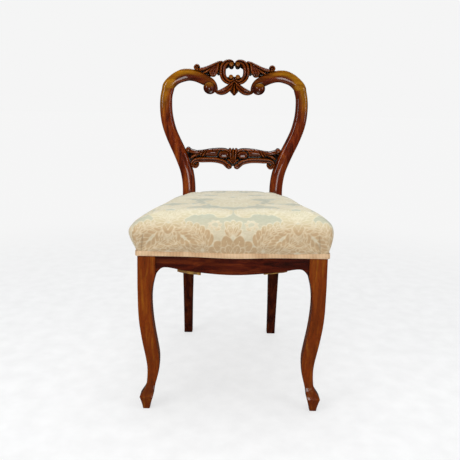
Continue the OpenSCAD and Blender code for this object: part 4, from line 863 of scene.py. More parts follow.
def cushion_cage():
    outline = seat_outline()
    count, last = len(outline), len(COVER_PROFILE) - 1
    bm = bmesh.new()

    def place(u, v):
        z, bulge, inward = smooth_row(COVER_PROFILE, v * last)
        x, y, nx, ny, share = outline[round(u * count) % count]
        extra, tilt = settled(x, y)
        out = bulge * share * 1.2 + 1.2 * ease(400, 412, z) - 0.6
        aside = extra * max(0.0, bulge) / 13 if abs(x) > 150 else 0
        z += tilt * ease(430, 470, z) * (1 - inward) - 7.6 * ease(0.04, 0.5, inward)
        z -= 5.5 * ease(250, 390, y) * ease(440, 480, z) * (1 - inward)
        x, y = x * (1 - inward), mix(y, SEAT_MIDDLE, inward)
        return at(x + nx * (out + aside), y + ny * out, z)
    shaped_grid(bm, count, last * 4, place)
    close_mesh(bm)
    return mesh_of(bm, "cushion_cage")


def inflated(mesh, cap):
    """Pad after its filling has pressed the cloth out from the hem, by no more than the cap."""
    carrier = bpy.data.objects.new("pad", mesh)
    scene = bpy.context.scene
    scene.collection.objects.link(carrier)
    start = np.empty(len(mesh.vertices) * 3)
    mesh.vertices.foreach_get("co", start)
    start = start.reshape(-1, 3)
    depth = start[:, 1] / MM + DEPTH_MIDDLE
    height = start[:, 2] / MM
    across = np.abs(start[:, 0]) / MM
    held = (height < 400) | ((across > 100) & (depth > 378) & (height < 462))
    group = carrier.vertex_groups.new(name="held")
    group.add([int(i) for i in np.nonzero(held)[0]], 1.0, "REPLACE")
    cloth = carrier.modifiers.new("cloth", "CLOTH")
    cloth.settings.quality = 4
    cloth.settings.mass = 0.3
    cloth.settings.tension_stiffness = cloth.settings.compression_stiffness = 15
    cloth.settings.shear_stiffness = 8
    cloth.settings.bending_stiffness = 2
    cloth.settings.use_pressure = True
    cloth.settings.uniform_pressure_force = 4
    cloth.settings.effector_weights.gravity = 0
    cloth.settings.vertex_group_mass = "held"
    cloth.collision_settings.use_collision = False
    last_frame = 20
    cloth.point_cache.frame_start, cloth.point_cache.frame_end = 1, last_frame
    for step in range(1, last_frame + 1):
        scene.frame_set(step)
    moved = bpy.data.meshes.new_from_object(carrier.evaluated_get(bpy.context.evaluated_depsgraph_get()))
    end = np.empty(len(moved.vertices) * 3)
    moved.vertices.foreach_get("co", end)
    shift = end.reshape(-1, 3) - start
    length = np.linalg.norm(shift, axis=1, keepdims=True)
    shift *= cap / (cap + length)
    moved.vertices.foreach_set("co", (start + shift).ravel())
    bpy.data.objects.remove(carrier)
    scene.frame_set(1)
    return moved


def cushion_mesh(voxel, cap):
    def remesh(carrier):
        modifier = carrier.modifiers.new("even", "REMESH")
        modifier.mode = "VOXEL"
        modifier.voxel_size = voxel

    def subdivide(carrier):
        modifier = carrier.modifiers.new("fine", "SUBSURF")
        modifier.levels = modifier.render_levels = 1
    cage = evaluated_mesh(cushion_cage(), "cushion", remesh)
    cage = inflated(cage, cap)
    fine = evaluated_mesh(cage, "cushion", subdivide)
    bm = bmesh.new()
    bm.from_mesh(fine)
    hem = (0, 0, 0.3936)
    everything = bm.verts[:] + bm.edges[:] + bm.faces[:]
    bmesh.ops.bisect_plane(bm, geom=everything, dist=0.0002, plane_co=hem, plane_no=(0, 0, 1),
                           clear_inner=True)
    turn_under(bm)
    return mesh_of(bm, "seat_cushion")


def turn_under(bm):
    """Turns the cloth under at its hem and runs it up inside, over the rails and under the stuffing."""
    normals = {point: point.normal.copy() for point in bm.verts if point.is_boundary}
    for rise, draw in ((0, 2.0), (33.6, 0.4)):
        rim = [edge for edge in bm.edges if edge.is_boundary]
        carried = {}
        for point in bmesh.ops.extrude_edge_only(bm, edges=rim)["geom"]:
            if isinstance(point, bmesh.types.BMVert):
                others = [edge.other_vert(point) for edge in point.link_edges]
                near = min((other for other in others if other in normals),
                           key=lambda other: (other.co - point.co).length)
                carried[point] = normals[near]
        for point, normal in carried.items():
            point.co -= Vector((normal.x, normal.y, 0)).normalized() * draw * MM
            point.co.z += rise * MM
        normals = carried
    middle = at(0, SEAT_MIDDLE, 0)
    for inward, rise in ((0.12, 0.4), (0.14, 12), (0.5, 2)):
        rim = [edge for edge in bm.edges if edge.is_boundary]
        for point in bmesh.ops.extrude_edge_only(bm, edges=rim)["geom"]:
            if isinstance(point, bmesh.types.BMVert):
                point.co.x = mix(point.co.x, middle.x, inward)
                point.co.y = mix(point.co.y, middle.y, inward)
                point.co.z += rise * MM
    bmesh.ops.holes_fill(bm, edges=[edge for edge in bm.edges if edge.is_boundary], sides=0)


def outline_fields(x, y):
    """Outward direction of the seat's nearest edge, for arrays of points."""
    edge = np.array([row[:4] for row in seat_outline()])
    size = np.hypot(edge[:, 2], edge[:, 3])
    nearest = np.argmin((x[:, None] - edge[None, :, 0]) ** 2 + (y[:, None] - edge[None, :, 1]) ** 2, axis=1)
    return edge[nearest, 2] / size[nearest], edge[nearest, 3] / size[nearest]


# length of cloth used up in turning down over the edge: height, length beyond the plan
TURN_DOWN = [
    (393, 88.1), (404.5, 76.6), (413, 61.4), (426.6, 41.2), (441, 24.3), (452, 15), (463.4, 8.4),
    (469, 6.7), (479.6, 2.1), (487.6, .2), (490, 0), (600, 0)]


def leaf(points, pairs, length, width):
    """Petals of an acanthus leaf: broad overlapping lobes in pairs along its rib, smaller towards the tip,
    and a row of narrow ones over them that fills the middle."""
    petals = []

    def at_share(t):
        (ax, ay), (bx, by) = (smooth_row(points, max(0, min(1, t + d)) * (len(points) - 1) * 0.999)
                              for d in (-0.05, 0.05))
        return (ax + bx) / 2, (ay + by) / 2, math.degrees(math.atan2(bx - ax, by - ay))
    for turns, scale, thin in ((44, 1, 1), (19.8, 0.72, 0.8)):
        for i in range(pairs):
            t = (i + 0.2) / pairs
            x, y, heading = at_share(t)
            size = scale * (1 - 0.4 * t)
            petals += [(x, y, heading + turn, length * size, width * size * thin) for turn in (-turns, turns)]
    x, y, heading = at_share(0.94)
    return petals + [(x, y, heading, length * 0.7, width * 0.8)]


def fan(x, y, angles, length, width, inner=0.62):
    """Petals of a palmette: a fan of lobes in two tiers."""
    return [(x, y, angle, length * scale, width * scale) for scale in (1, inner) for angle in angles]


def damask_petals():
    """Petals of half a tile, from the front hem up: palmette and bud on the front, acanthus leaves beside
    them, a scalloped medallion and bouquets on the top. Each has its root across and along in mm, its angle
    from straight up in degrees, its length and its width."""
    petals = leaf([(80, -10), (104, 6), (130, 30), (148, 62)], 6, 44, 24)
    petals += leaf([(60, 18), (74, 44), (94, 66), (122, 80)], 6, 38, 21)
    petals += leaf([(150, 88), (134, 112), (110, 130), (80, 136)], 6, 36, 20)
    petals += leaf([(10, 104), (28, 124), (52, 134), (84, 130)], 6, 32, 18)
    petals += leaf([(148, 146), (132, 168), (112, 186), (84, 192)], 5, 34, 19)
    petals += fan(1, -12, (104, 84, 62, 40, 16), 64, 30)
    petals.append((4, 46, 42, 22, 11))
    petals += fan(0, 50, (0, 26), 40, 17, 0.6)
    for turn in range(8):
        a = math.radians(190 + turn * 44)
        r = 14 - turn * 1.3
        x, y = 44 + r * math.sin(a), 76 + r * math.cos(a)
        petals.append((x, y, 286 + turn * 44, 13, 7.5 - turn * 0.5))
    for turn in range(6):
        a = math.radians(turn * 60)
        petals.append((70 + 3 * math.sin(a), 12 + 3 * math.cos(a), turn * 60, 13, 9.5))
    # medallion hanging on the axis of the top, and the palmette that it hangs from
    petals += fan(0, 236, (92, 112, 134, 157, 180), 74, 34)
    petals += fan(0, 236, (0, 26, 52, 76), 52, 26)
    petals += fan(150, 226, (-90, -64, -40, -16, 6), 60, 28)
    petals += leaf([(14, 262), (34, 284), (60, 296), (92, 292)], 6, 36, 20)
    petals += leaf([(148, 290), (128, 306), (100, 316), (70, 312)], 6, 36, 20)
    petals += fan(0, 310, (0, 26, 52, 80), 50, 25)
    return petals


def damask_fields(across, along):
    """Distance inside the woven figure, and distance to the nearest outline or vein thread, in mm."""
    s = np.abs(across) % TILE_WIDTH
    s = np.minimum(s, TILE_WIDTH - s)
    t = (along + 20) % TILE_LENGTH - 20
    motif, thread = np.full(s.shape, -9.0), np.full(s.shape, 9.0)
    for x, y, angle, length, width in damask_petals():
        turn = math.radians(angle)
        # the half tile is mirrored in both of its long sides
        for place in (s, -s, TILE_WIDTH - s):
            dx, dy = place - x, t - y
            u = dx * math.sin(turn) + dy * math.cos(turn)
            v = dx * math.cos(turn) - dy * math.sin(turn)
            # widest beyond the middle, like a lobe of a leaf
            middle = 0.56 * length
            reach = np.where(u > middle, length - middle, middle)
            depth = (1 - np.hypot((u - middle) / reach, v / (width / 2))) * width / 2
            vein = np.hypot(v, np.maximum(0, np.maximum(0.1 * length - u, u - 0.8 * length)))
            near = depth > -2.2
            thread[near] = np.where(depth[near] > 0, np.minimum(depth[near], vein[near]),
                                    np.minimum(thread[near], -depth[near]))
            motif = np.maximum(motif, depth)
    return motif, thread


def dress_cushion(mesh):
    """Stores the damask's figure, the cloth's steepness, the painted shade of its pleats, and a UV map in
    metres of cloth.
    """
    count = len(mesh.vertices)
    places = np.empty(count * 3)
    mesh.vertices.foreach_get("co", places)
    x, y, z = places.reshape(-1, 3).T / MM
    y = y + DEPTH_MIDDLE
    nx, ny = outline_fields(x, y)
    extra = np.interp(z, *zip(*TURN_DOWN))
    across, along = x + nx * extra, y + ny * extra
    motif, thread = damask_fields(across, along + HEM_REACH)
    # share by which the cloth turns down, which mixes in the damask's painted sheen
    steep = 1 - np.clip((z - 452) / 34, 0, 1)
    # painted shade in the pleats at the front corners: dark lines that lean with the cloth and fade out above
    # the bulge
    pleat_shade = np.zeros(count)
    for place, lean_over in ((-211, 6), (201, -4)):
        off = np.abs(x - place - lean_over * (z - 420) / 40)
        pleat_shade = np.maximum(pleat_shade, np.clip(1 - off / 2.2, 0, 1) * (y < 20) * np.clip((455 - z) / 16, 0, 1))
    for name, values in (("motif", motif), ("thread", thread), ("steep", steep * steep * (3 - 2 * steep)),
                         ("pleat_shade", pleat_shade * 0.75)):
        mesh.attributes.new(name, "FLOAT", "POINT").data.foreach_set("value", values)
    corners = np.empty(len(mesh.loops), dtype=np.int32)
    mesh.loops.foreach_get("vertex_index", corners)
    flat = np.stack([across[corners], along[corners]], 1) * MM
    mesh.uv_layers.new(name="cloth").data.foreach_set("uv", flat.ravel())


def braid_mesh(pitch):
    """Gimp along the hem: a band 12 mm high with ribs across it, round the front and sides and across the
    back."""
    bm = bmesh.new()
    layer = bm.verts.layers.float.new("rib")
    half = [row[:4] for row in seat_outline()
            if row[0] >= 0 and row[1] < SEAT_BACK + 0.1 and (row[0] > 150 or row[1] < 60)]
    front = [(-x, y, -nx, ny) for x, y, nx, ny in reversed(half[1:])] + half
    back = [(x, 421, 0, 1) for x in np.linspace(112, -112, 40)]
    rib_depth = 0.4
    loop = [(0, 392.2), (1.0, 392.0), (1.75, 392.9), (1.3, 394.2), (1.8, 396), (1.5, 398), (1.8, 400),
            (1.3, 401.8), (1.75, 403.1), (1.0, 404), (0, 403.8), (0, 392.2)]
    total = 0
    for path in (front, back):
        reach = np.concatenate([[0], np.cumsum([math.dist(a[:2], b[:2]) for a, b in zip(path, path[1:])])])
        length = reach[-1]
        total += length
        ribs = round(length / pitch)
        columns = list(zip(*path))

        def rib_at(v):
            return 0.5 + 0.5 * math.cos(2 * math.pi * v * ribs)

        def place(u, v):
            x, y, nx, ny = (float(np.interp(v * length, reach, column)) for column in columns)
            size = math.hypot(nx, ny)
            out, z = loop[round(u * 11)]
            out += rib_depth * (rib_at(v) if out > 0.5 else 0) - 0.2
            return at(x + nx / size * out, y + ny / size * out, z)
        for point in shaped_grid(bm, 11, ribs * 4, place, lambda u, v: rib_at(v)):
            point[layer] = point[bm.verts.layers.float["tone"]]
    close_mesh(bm, 0.00001)
    return mesh_of(bm, "gimp_braid"), total * MM


def strap_x(i, y):
    """Middle of a lengthwise strap at a depth: the straps draw together towards the back."""
    return i * mix(STRAP_PITCH, 80, max(0, min(1, (y - 30) / 366)))


def flat_strap(bm, across, along, point_at):
    """Adds a strap, whose point at v along it, at an offset across it and a drop below its upper side, is
    point_at(v, offset, drop)."""
    rows = 2 * across + 2
    ring = [(k / across, 0) for k in range(across + 1)] + [(1 - k / across, 1) for k in range(across + 1)]
    ring.append(ring[0])

    def place(u, v):
        share, side = ring[round(u * rows)]
        return point_at(v, (share - 0.5) * STRAP_WIDTH, side * STRAP_THICKNESS)
    shaped_grid(bm, rows, along, place)


def lengthwise_strap(i):
    """Jute strap nailed under the front and rear rails, and its length. The ragged ends of the outer two show
    under the front."""
    bm = bmesh.new()
    tail = {-1: 7.5, 0: 0, 1: 3}[i]
    xs, zs = zip(*RAIL_EDGE)

    def point_at(v, off, drop):
        x = i * STRAP_PITCH + off
        edge = float(np.interp(abs(x), xs, zs)) - 0.5
        ragged = tail * (0.8 + 0.2 * math.sin(off * 0.9) * math.sin(off * 0.37 + i))
        face, behind = 12 - 17 * bow(x), 30 - 17 * bow(x)
        if i == 0:
            face += 6
        level = STRAP_TOP - drop
        rows = [(face + drop, edge - max(drop, ragged)), (face + drop, edge - drop), (behind, edge - drop),
                (58, level), (396, level), (414, level)]
        y, z = (float(np.interp(v * 5, range(6), column)) for column in zip(*rows))
        return at(strap_x(i, y) + off, y, z)
    flat_strap(bm, 9, 50, point_at)
    close_mesh(bm)
    return mesh_of(bm, "webbing_strap"), (402 + tail) * MM


def crosswise_strap(y, turn):
    """Jute strap woven over and under the lengthwise ones and nailed under the side rails, and its length."""
    bm = bmesh.new()
    half = mix(221.5, 148.5, (y - POST) / (SEAT_DEPTH - POST)) - 4
    outermost = strap_x(1, y) + 30

    def point_at(v, off, drop):
        x = mix(-half, half, v)
        wave = max(-1, min(1, 1.6 * math.cos(math.pi * x / strap_x(1, y))))
        if abs(x) > outermost:
            wave *= ease(0, (half - outermost) * 0.8, half - abs(x))
        return at(x, y + off, STRAP_TOP + 2.1 * turn * wave - drop)
    flat_strap(bm, 9, 96, point_at)
    close_mesh(bm)
    return mesh_of(bm, "webbing_strap"), 2 * half * MM


def canvas_mesh():
    """Hessian stretched over the springs and sewn to them, nailed on the rails."""
    bm = bmesh.new()
    outline = seat_outline()
    count = len(outline)
    # underside from its nailed edge inwards: share of the way in to the middle, height
    lower = [(.055, 425), (.1, 425.3), (.15, 426), (.19, 430), (.24, 436.3), (.32, 436.8), (.5, 436.9),
             (.75, 436.8), (.97, 436.75)]
    rings = lower + [(inward, z + 1.4) for inward, z in reversed(lower)] + lower[:1]
    last = len(rings) - 1

    def place(u, v):
        inward, z = rings[round(v * last)]
        x, y = outline[round(u * count) % count][:2]
        return at(x * (1 - inward), mix(y, SEAT_MIDDLE, inward), z)
    shaped_grid(bm, count, last, place)
    close_mesh(bm, 0.00001)
    return mesh_of(bm, "spring_canvas")


def spring_mesh():
    """Open coils that stand on the webbing and are narrower at their waist."""
    bm = bmesh.new()
    for i, share in SPRINGS:
        y0 = share * SEAT_DEPTH
        x0 = strap_x(i, y0)

        def place(u, v):
            a, b = v * COIL_TURNS * 2 * math.pi, 2 * math.pi * u
            radius = COIL_RADIUS * (1 - 0.26 * math.sin(math.pi * v)) - WIRE_RADIUS
            rise = COIL_RISE * (v - 0.06 * math.sin(2 * math.pi * v))
            out = radius + WIRE_RADIUS * math.cos(b)
            z = 352 + WIRE_RADIUS + rise + WIRE_RADIUS * math.sin(b)
            return at(x0 + out * math.cos(a), y0 + out * math.sin(a), z)
        shaped_grid(bm, 10, round(COIL_TURNS * 24), place)
    close_mesh(bm)
    return mesh_of(bm, "seat_springs")


# stage

def lit_world(look):
    """Even pale wall of light to the camera, and a dimmer room for shadows and reflections, so that the
    polish stays deep."""
    world = bpy.data.worlds.new("studio")
    world.use_nodes = True
    tree = world.node_tree
    tree.nodes.clear()
    path = add_node(tree, "ShaderNodeLightPath")
    lights = (((0.94, 0.97, 1.0, 1), look.room_light), ((1, 1, 1, 1), look.room_light * 0.1),
              (look.backdrop[:], 1.0))
    room, polish, backdrop = (
        add_node(tree, "ShaderNodeBackground", {"Color": colour, "Strength": strength}).outputs[0]
        for colour, strength in lights)
    reflected = add_node(tree, "ShaderNodeMixShader", {0: path.outputs["Is Glossy Ray"], 1: room, 2: polish})
    seen = add_node(tree, "ShaderNodeMixShader", {
        0: path.outputs["Is Camera Ray"], 1: reflected.outputs[0], 2: backdrop})
    tree.links.new(seen.outputs[0], add_node(tree, "ShaderNodeOutputWorld").inputs[0])
    return world


def painted_floor(look):
    """Matt white painted floor that fades into the backdrop a few steps away, as a studio sweep does. Part of
    its light is its own, which keeps the shadows pale, and it is dim in reflections like the room."""
    material, tree, shader = new_material("Matt white studio floor", Roughness=0.9, Specular_IOR_Level=0.2,
                                          Emission_Strength=1.0)
    place = add_node(tree, "ShaderNodeTexCoord").outputs["Object"]
    away = add_node(tree, "ShaderNodeVectorMath", {0: place}, operation="LENGTH").outputs["Value"]
    fade = add_node(tree, "ShaderNodeMapRange", {"Value": away, "From Min": 0.75, "From Max": 2.2},
                    interpolation_type="SMOOTHSTEP").outputs[0]
    mottle = noise(tree, 0.05, 3.0)
    paint = add_node(tree, "ShaderNodeValToRGB", {"Fac": mottle}, stops=[(0.3, 0.28), (0.7, 0.33)]).outputs[0]
    own_light = [0.66 * level for level in look.backdrop[:3]] + [1]
    tree.links.new(layered(tree, paint, (fade, (0, 0, 0, 1))), shader.inputs["Base Color"])
    tree.links.new(layered(tree, own_light, (fade, look.backdrop[:])), shader.inputs["Emission Color"])
    dim = add_node(tree, "ShaderNodeBsdfDiffuse", {"Color": (0.05, 0.05, 0.05, 1)}).outputs[0]
    path = add_node(tree, "ShaderNodeLightPath")
    seen = add_node(tree, "ShaderNodeMixShader", {
        0: path.outputs["Is Glossy Ray"], 1: shader.outputs[0], 2: dim}).outputs[0]
    output = next(node for node in tree.nodes if node.type == "OUTPUT_MATERIAL")
    tree.links.new(seen, output.inputs[0])
    return material


def soft_box(name, place, aim, size, power, lights_up=True, mirrored=True):
    """Rectangular light. One that isn't mirrored makes no bright patch in the polish, and one that doesn't
    light up makes nothing else."""
    lamp = bpy.data.lights.new(name, "AREA")
    lamp.shape = "RECTANGLE"
    lamp.size, lamp.size_y = size
    lamp.energy = power
    light = bpy.data.objects.new(name, lamp)
    light.location = place
    light.rotation_euler = (Vector(aim) - Vector(place)).to_track_quat("-Z", "Y").to_euler()
    light.visible_diffuse, light.visible_glossy = lights_up, mirrored
    bpy.context.scene.collection.objects.link(light)


# add-on

def colour_choice(name, description, default):
    return bpy.props.FloatVectorProperty(name=name, description=description, default=linear(default),
                                         subtype="COLOR", size=4, min=0, max=1)


def length_choice(name, description, default, low, high):
    return bpy.props.FloatProperty(name=name, description=description, default=default, min=low, max=high,
                                   unit="LENGTH", precision=4)


class ChairFrameLook(bpy.types.PropertyGroup):
    """Finish of the polished frame."""
    wood_deep: colour_choice("Deep grain", "Darkest streaks of the mahogany", "#240601")
    wood_body: colour_choice("Body colour", "Main colour of the mahogany", "#622004")
    wood_warm: colour_choice("Warm grain", "Lightest streaks of the mahogany", "#883f09")
    carved: colour_choice("Carving", "Main colour of the carved rails, which hold more stain", "#501803")
    # painted light: amber on the upper sides of the hoop and the balls, which also stands for the stain worn
    # thin there
    amber: colour_choice("Rubbed amber", "Colour where the stain is rubbed thin on the hoop", "#865606")
    front_legs: colour_choice("Front legs", "Main colour of the front legs, which are less red", "#702c02")
    front_rail: colour_choice("Front rail", "Main colour of the veneered front rail", "#451002")
    carving_cell: length_choice("Carving detail", "Spacing of points in the carving", 0.0006, 0.0004, 0.003)
    gloss: bpy.props.FloatProperty(name="Gloss", description="Roughness of the polish", default=0.2,
                                   min=0.02, max=0.8, subtype="FACTOR")
    arris: length_choice("Arris", "Width of the softened edges of the plain rails", 0.0012, 0.0002, 0.004)


class ChairSeatLook(bpy.types.PropertyGroup):
    """Shape and cloth of the seat."""
    cloth_cell: length_choice("Cloth detail", "Spacing of points in the simulated cloth", 0.005, 0.004, 0.01)
    swell: length_choice("Swell", "Most that the filling presses the cloth out", 0.008, 0, 0.02)
    rib_pitch: length_choice("Gimp ribs", "Distance from rib to rib of the gimp", 0.0034, 0.001, 0.01)
    # painted sheen: each weave has a colour where the cloth lies flat and another where it turns down
    ground_top: colour_choice("Ground, top", "Satin ground where the cloth lies flat", "#b4b7a2")
    ground_front: colour_choice("Ground, edges", "Satin ground where the cloth turns down", "#c2b89d")
    figure_top: colour_choice("Figure, top", "Figure where the cloth lies flat", "#cbc3a3")
    figure_front: colour_choice("Figure, edges", "Figure where the cloth turns down", "#b0946e")
    gimp: colour_choice("Gimp", "Colour of the gimp's ribs", "#d0ab84")
    jute: colour_choice("Jute", "Colour of the webbing", "#c09440")


class ChairStageLook(bpy.types.PropertyGroup):
    """Studio light and backdrop."""
    backdrop: colour_choice("Backdrop", "Colour behind the chair", "#f5f5f5")
    room_light: bpy.props.FloatProperty(name="Room light", description="Strength of the light from all round",
                                        default=0.55, min=0, max=3)
    key_power: bpy.props.FloatProperty(name="Main light", default=26, min=0, max=500, unit="POWER",
                                       description="Power of the large soft light at the left")


def looks_of(context):
    """Settings of the frame, the seat and the stage."""
    return context.scene.chair_frame, context.scene.chair_seat, context.scene.chair_stage


class CHAIR_OT_back_legs(bpy.types.Operator):
    """Back legs, each in one piece with its stile of the hoop"""
    bl_idname = "chair.back_legs"
    bl_label = "Back legs"

    def execute(self, context):
        look = looks_of(context)[0]
        colours = look.wood_deep[:], look.wood_body[:], look.wood_warm[:]
        wood = polished_mahogany("French polished mahogany, upright grain", colours, "z", look.gloss)
        for side, name in ((-1, "left"), (1, "right")):
            new_piece(f"back_leg_{name}_polished", stile_mesh(side), wood,
                      [f"back_leg_{name}"])
        return {"FINISHED"}


class CHAIR_OT_carved_rails(bpy.types.Operator):
    """Crest rail and cross rail, carved in relief"""
    bl_idname = "chair.carved_rails"
    bl_label = "Carved crest rail and cross rail"

    def execute(self, context):
        look = looks_of(context)[0]
        colours = linear("#190401"), look.carved[:], linear("#723208")
        wood = polished_mahogany("French polished mahogany, carved", colours, "x", look.gloss - 0.02, 1.0)
        cell = look.carving_cell / MM * 1
        new_piece("crest_rail_carved", crest_mesh(cell), wood, ["crest_rail"], 62)
        new_piece("cross_rail_carved", cross_mesh(cell), wood, ["cross_rail"], 62)
        return {"FINISHED"}


class CHAIR_OT_front_legs(bpy.types.Operator):
    """Front legs: square post, cabriole knee, flared toe and small foot"""
    bl_idname = "chair.front_legs"
    bl_label = "Front legs"

    def execute(self, context):
        look = looks_of(context)[0]
        colours = linear("#582403"), look.front_legs[:], linear("#8c4f0a")
        wood = polished_mahogany("French polished mahogany, front legs", colours, "z", look.gloss + 0.04)
        for side, name in ((-1, "left"), (1, "right")):
            new_piece(f"front_leg_{name}_polished", front_leg_mesh(side), wood,
                      [f"front_leg_{name}"])
        return {"FINISHED"}


class CHAIR_OT_seat_rails(bpy.types.Operator):
    """Shaped front rail, side rails and rear rail of the seat"""
    bl_idname = "chair.seat_rails"
    bl_label = "Seat rails"

    def execute(self, context):
        look = looks_of(context)[0]
        colours = linear("#220601"), look.front_rail[:], linear("#6c2c08")
        veneer = polished_mahogany("French polished mahogany veneer", colours, "x", look.gloss)
        new_piece("front_rail_polished", front_rail_mesh(), veneer, ["front_rail"], 40)
        colours = linear("#2c0a03"), look.front_rail[:], linear("#6e2c0c")
        side_wood = polished_mahogany("French polished mahogany, side rails", colours, "y", look.gloss)
        for name in ("left", "right"):
            new_piece(f"side_rail_{name}_polished", softened_copy(f"side_rail_{name}", look.arris), side_wood,
                      [f"side_rail_{name}"], 30)
        beech = planed_beech("Planed beech, rear rail", "x")
        new_piece("rear_rail_planed", softened_copy("rear_rail", look.arris), beech,
                  ["rear_rail"], 30)
        return {"FINISHED"}


class CHAIR_OT_joinery(bpy.types.Operator):
    """Finishes of the corner blocks, their screws and the dowels, which keep their construction shapes"""
    bl_idname = "chair.joinery"
    bl_label = "Corner blocks, screws and dowels"

    def execute(self, context):
        beech = planed_beech("Planed beech, blocks", "x")
        steel = old_metal("Steel screws gone dull", linear("#4b4743"), linear("#4c2a17"), 0.45)
        for node in ("corner_block_front_left", "corner_block_front_right", "corner_block_rear_left",
                     "corner_block_rear_right", "crest_dowels", "corner_block_screws"):
            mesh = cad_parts[node].data
            mesh.materials.clear()
            mesh.materials.append(steel if "screws" in node else beech)
        return {"FINISHED"}


class CHAIR_OT_seat_cushion(bpy.types.Operator):
    """Sprung and stuffed seat under its damask cover"""
    bl_idname = "chair.seat_cushion"
    bl_label = "Seat cushion"

    def execute(self, context):
        look = looks_of(context)[1]
        mesh = cushion_mesh(look.cloth_cell, look.swell)
        dress_cushion(mesh)
        cushion = new_piece("seat_cushion", mesh, silk_damask(), ["seat_cover", "seat_stuffing"])
        return {"FINISHED"}


class CHAIR_OT_gimp(bpy.types.Operator):
    """Ribbed gimp glued over the nailed hem of the cover"""
    bl_idname = "chair.gimp"
    bl_label = "Gimp braid"

    def execute(self, context):
        mesh, length = braid_mesh(looks_of(context)[1].rib_pitch / MM)
        braid = new_piece("gimp_braid_ribbed", mesh, ribbed_gimp(), ["gimp_braid"])
        return {"FINISHED"}


class CHAIR_OT_springing(bpy.types.Operator):
    """Jute webbing, coil springs and the hessian canvas over them"""
    bl_idname = "chair.springing"
    bl_label = "Webbing, springs and canvas"

    def execute(self, context):
        look = looks_of(context)[1]
        jute = woven_cloth("Jute webbing", look.jute[:], linear("#6b4a1c"), 0.003)
        hessian = woven_cloth("Hessian", linear("#a58a5c"), linear("#5c4626"), 0.002)
        steel = old_metal("Spring steel wire", linear("#55504a"), linear("#5a3018"), 0.35)
        for i, name in ((-1, "left"), (0, "middle"), (1, "right")):
            mesh, length = lengthwise_strap(i)
            strap = new_piece(f"webbing_lengthwise_{name}", mesh, jute,
                              ["webbing_lengthwise"], 50)
        for y, turn, name in ((112, 1, "front"), (212, -1, "middle"), (312, 1, "back")):
            mesh, length = crosswise_strap(y, turn)
            strap = new_piece(f"webbing_crosswise_{name}", mesh, jute,
                              ["webbing_crosswise"], 50)
        canvas = new_piece("spring_canvas_stretched", canvas_mesh(), hessian, ["spring_canvas"],
                           40)
        new_piece("seat_springs_coiled", spring_mesh(), steel, ["seat_springs"])
        return {"FINISHED"}


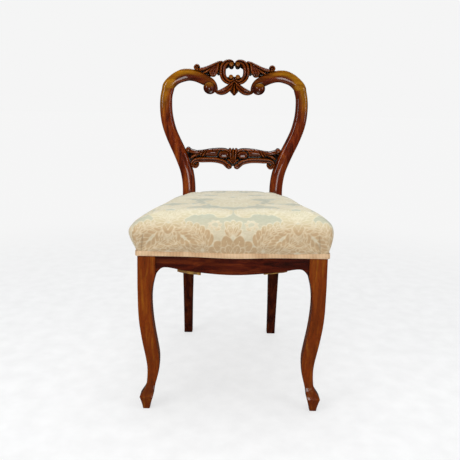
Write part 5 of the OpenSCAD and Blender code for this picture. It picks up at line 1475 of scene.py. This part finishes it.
class CHAIR_OT_stage(bpy.types.Operator):
    """Pale floor, soft lights and the camera at the picture's viewing angle"""
    bl_idname = "chair.stage"
    bl_label = "Stage"

    def execute(self, context):
        scene, look = context.scene, looks_of(context)[2]
        scene.view_settings.view_transform = "Standard"
        bm = bmesh.new()
        bmesh.ops.create_circle(bm, cap_ends=True, segments=96, radius=30)
        floor = bpy.data.objects.new("studio_floor", mesh_of(bm, "studio_floor"))
        scene.collection.objects.link(floor)
        floor.data.materials.append(painted_floor(look))
        scene.world = lit_world(look)
        power, room = look.key_power, (0, 0, 0.5)
        soft_box("key_left", (-1.8, -1.6, 1.7), room, (1.4, 1.4), power, mirrored=False)
        soft_box("fill_right", (2.0, -1.4, 1.4), room, (1.2, 1.4), power * 0.6, mirrored=False)
        soft_box("fill_front", (0, -2.4, 1.7), room, (1.2, 1.2), power * 0.6, mirrored=False)
        soft_box("overhead", (0, -0.1, 2.6), room, (1.4, 1.2), power * 0.75, mirrored=False)
        soft_box("window_front", (0.15, -2.5, 0.75), room, (0.7, 1.1), power * 0.5, lights_up=False)
        soft_box("window_left", (-1.9, -1.3, 2.0), room, (0.25, 1.2), power * 0.3, lights_up=False)
        soft_box("window_right", (2.1, -1.1, 1.6), room, (0.2, 1.2), power * 0.2, lights_up=False)
        soft_box("skylight_behind", (0, 1.8, 2.3), room, (2.4, 0.25), power * 0.4, lights_up=False)
        camera = bpy.data.cameras.new("photo_view")
        camera.lens, camera.sensor_width = 43.83, 36
        camera.shift_x, camera.shift_y = 0, -0.1115
        view = bpy.data.objects.new("photo_view", camera)
        view.location = (-0.0141, -1.5091, 0.7534)
        turn = (Matrix.Rotation(math.radians(-0.207), 4, "Z") @ Matrix.Rotation(math.radians(82.064), 4, "X")
                @ Matrix.Rotation(math.radians(1.053), 4, "Z"))
        view.rotation_euler = turn.to_euler()
        scene.collection.objects.link(view)
        scene.camera = view
        return {"FINISHED"}


PIECES = [
    CHAIR_OT_back_legs, CHAIR_OT_front_legs, CHAIR_OT_seat_rails, CHAIR_OT_carved_rails, CHAIR_OT_joinery,
    CHAIR_OT_seat_cushion, CHAIR_OT_gimp, CHAIR_OT_springing, CHAIR_OT_stage]


class CHAIR_PT_sidebar(bpy.types.Panel):
    """Builds the chair and its stage, piece by piece"""
    bl_idname = "CHAIR_PT_sidebar"
    bl_label = "Balloon Back Chair"
    bl_space_type = "VIEW_3D"
    bl_region_type = "UI"
    bl_category = "Balloon Chair"

    def draw(self, context):
        for title, look in zip(("Frame", "Seat", "Stage"), looks_of(context)):
            box = self.layout.box()
            box.label(text=title)
            for name in look.bl_rna.properties.keys():
                if name not in ("rna_type", "name"):
                    box.prop(look, name)
        for piece in PIECES:
            self.layout.operator(piece.bl_idname)


GROUPS = {"chair_frame": ChairFrameLook, "chair_seat": ChairSeatLook, "chair_stage": ChairStageLook}


def register():
    for group in GROUPS.values():
        bpy.utils.register_class(group)
    for name, group in GROUPS.items():
        setattr(bpy.types.Scene, name, bpy.props.PointerProperty(type=group))
    for piece in PIECES + [CHAIR_PT_sidebar]:
        bpy.utils.register_class(piece)


def unregister():
    for piece in reversed(PIECES + [CHAIR_PT_sidebar]):
        bpy.utils.unregister_class(piece)
    for name, group in reversed(GROUPS.items()):
        delattr(bpy.types.Scene, name)
        bpy.utils.unregister_class(group)


def main():
    register()
    bpy.ops.chair.back_legs()
    bpy.ops.chair.front_legs()
    bpy.ops.chair.seat_rails()
    bpy.ops.chair.carved_rails()
    bpy.ops.chair.joinery()
    bpy.ops.chair.seat_cushion()
    bpy.ops.chair.gimp()
    bpy.ops.chair.springing()
    bpy.ops.chair.stage()


if __name__ == "__main__":
    main()
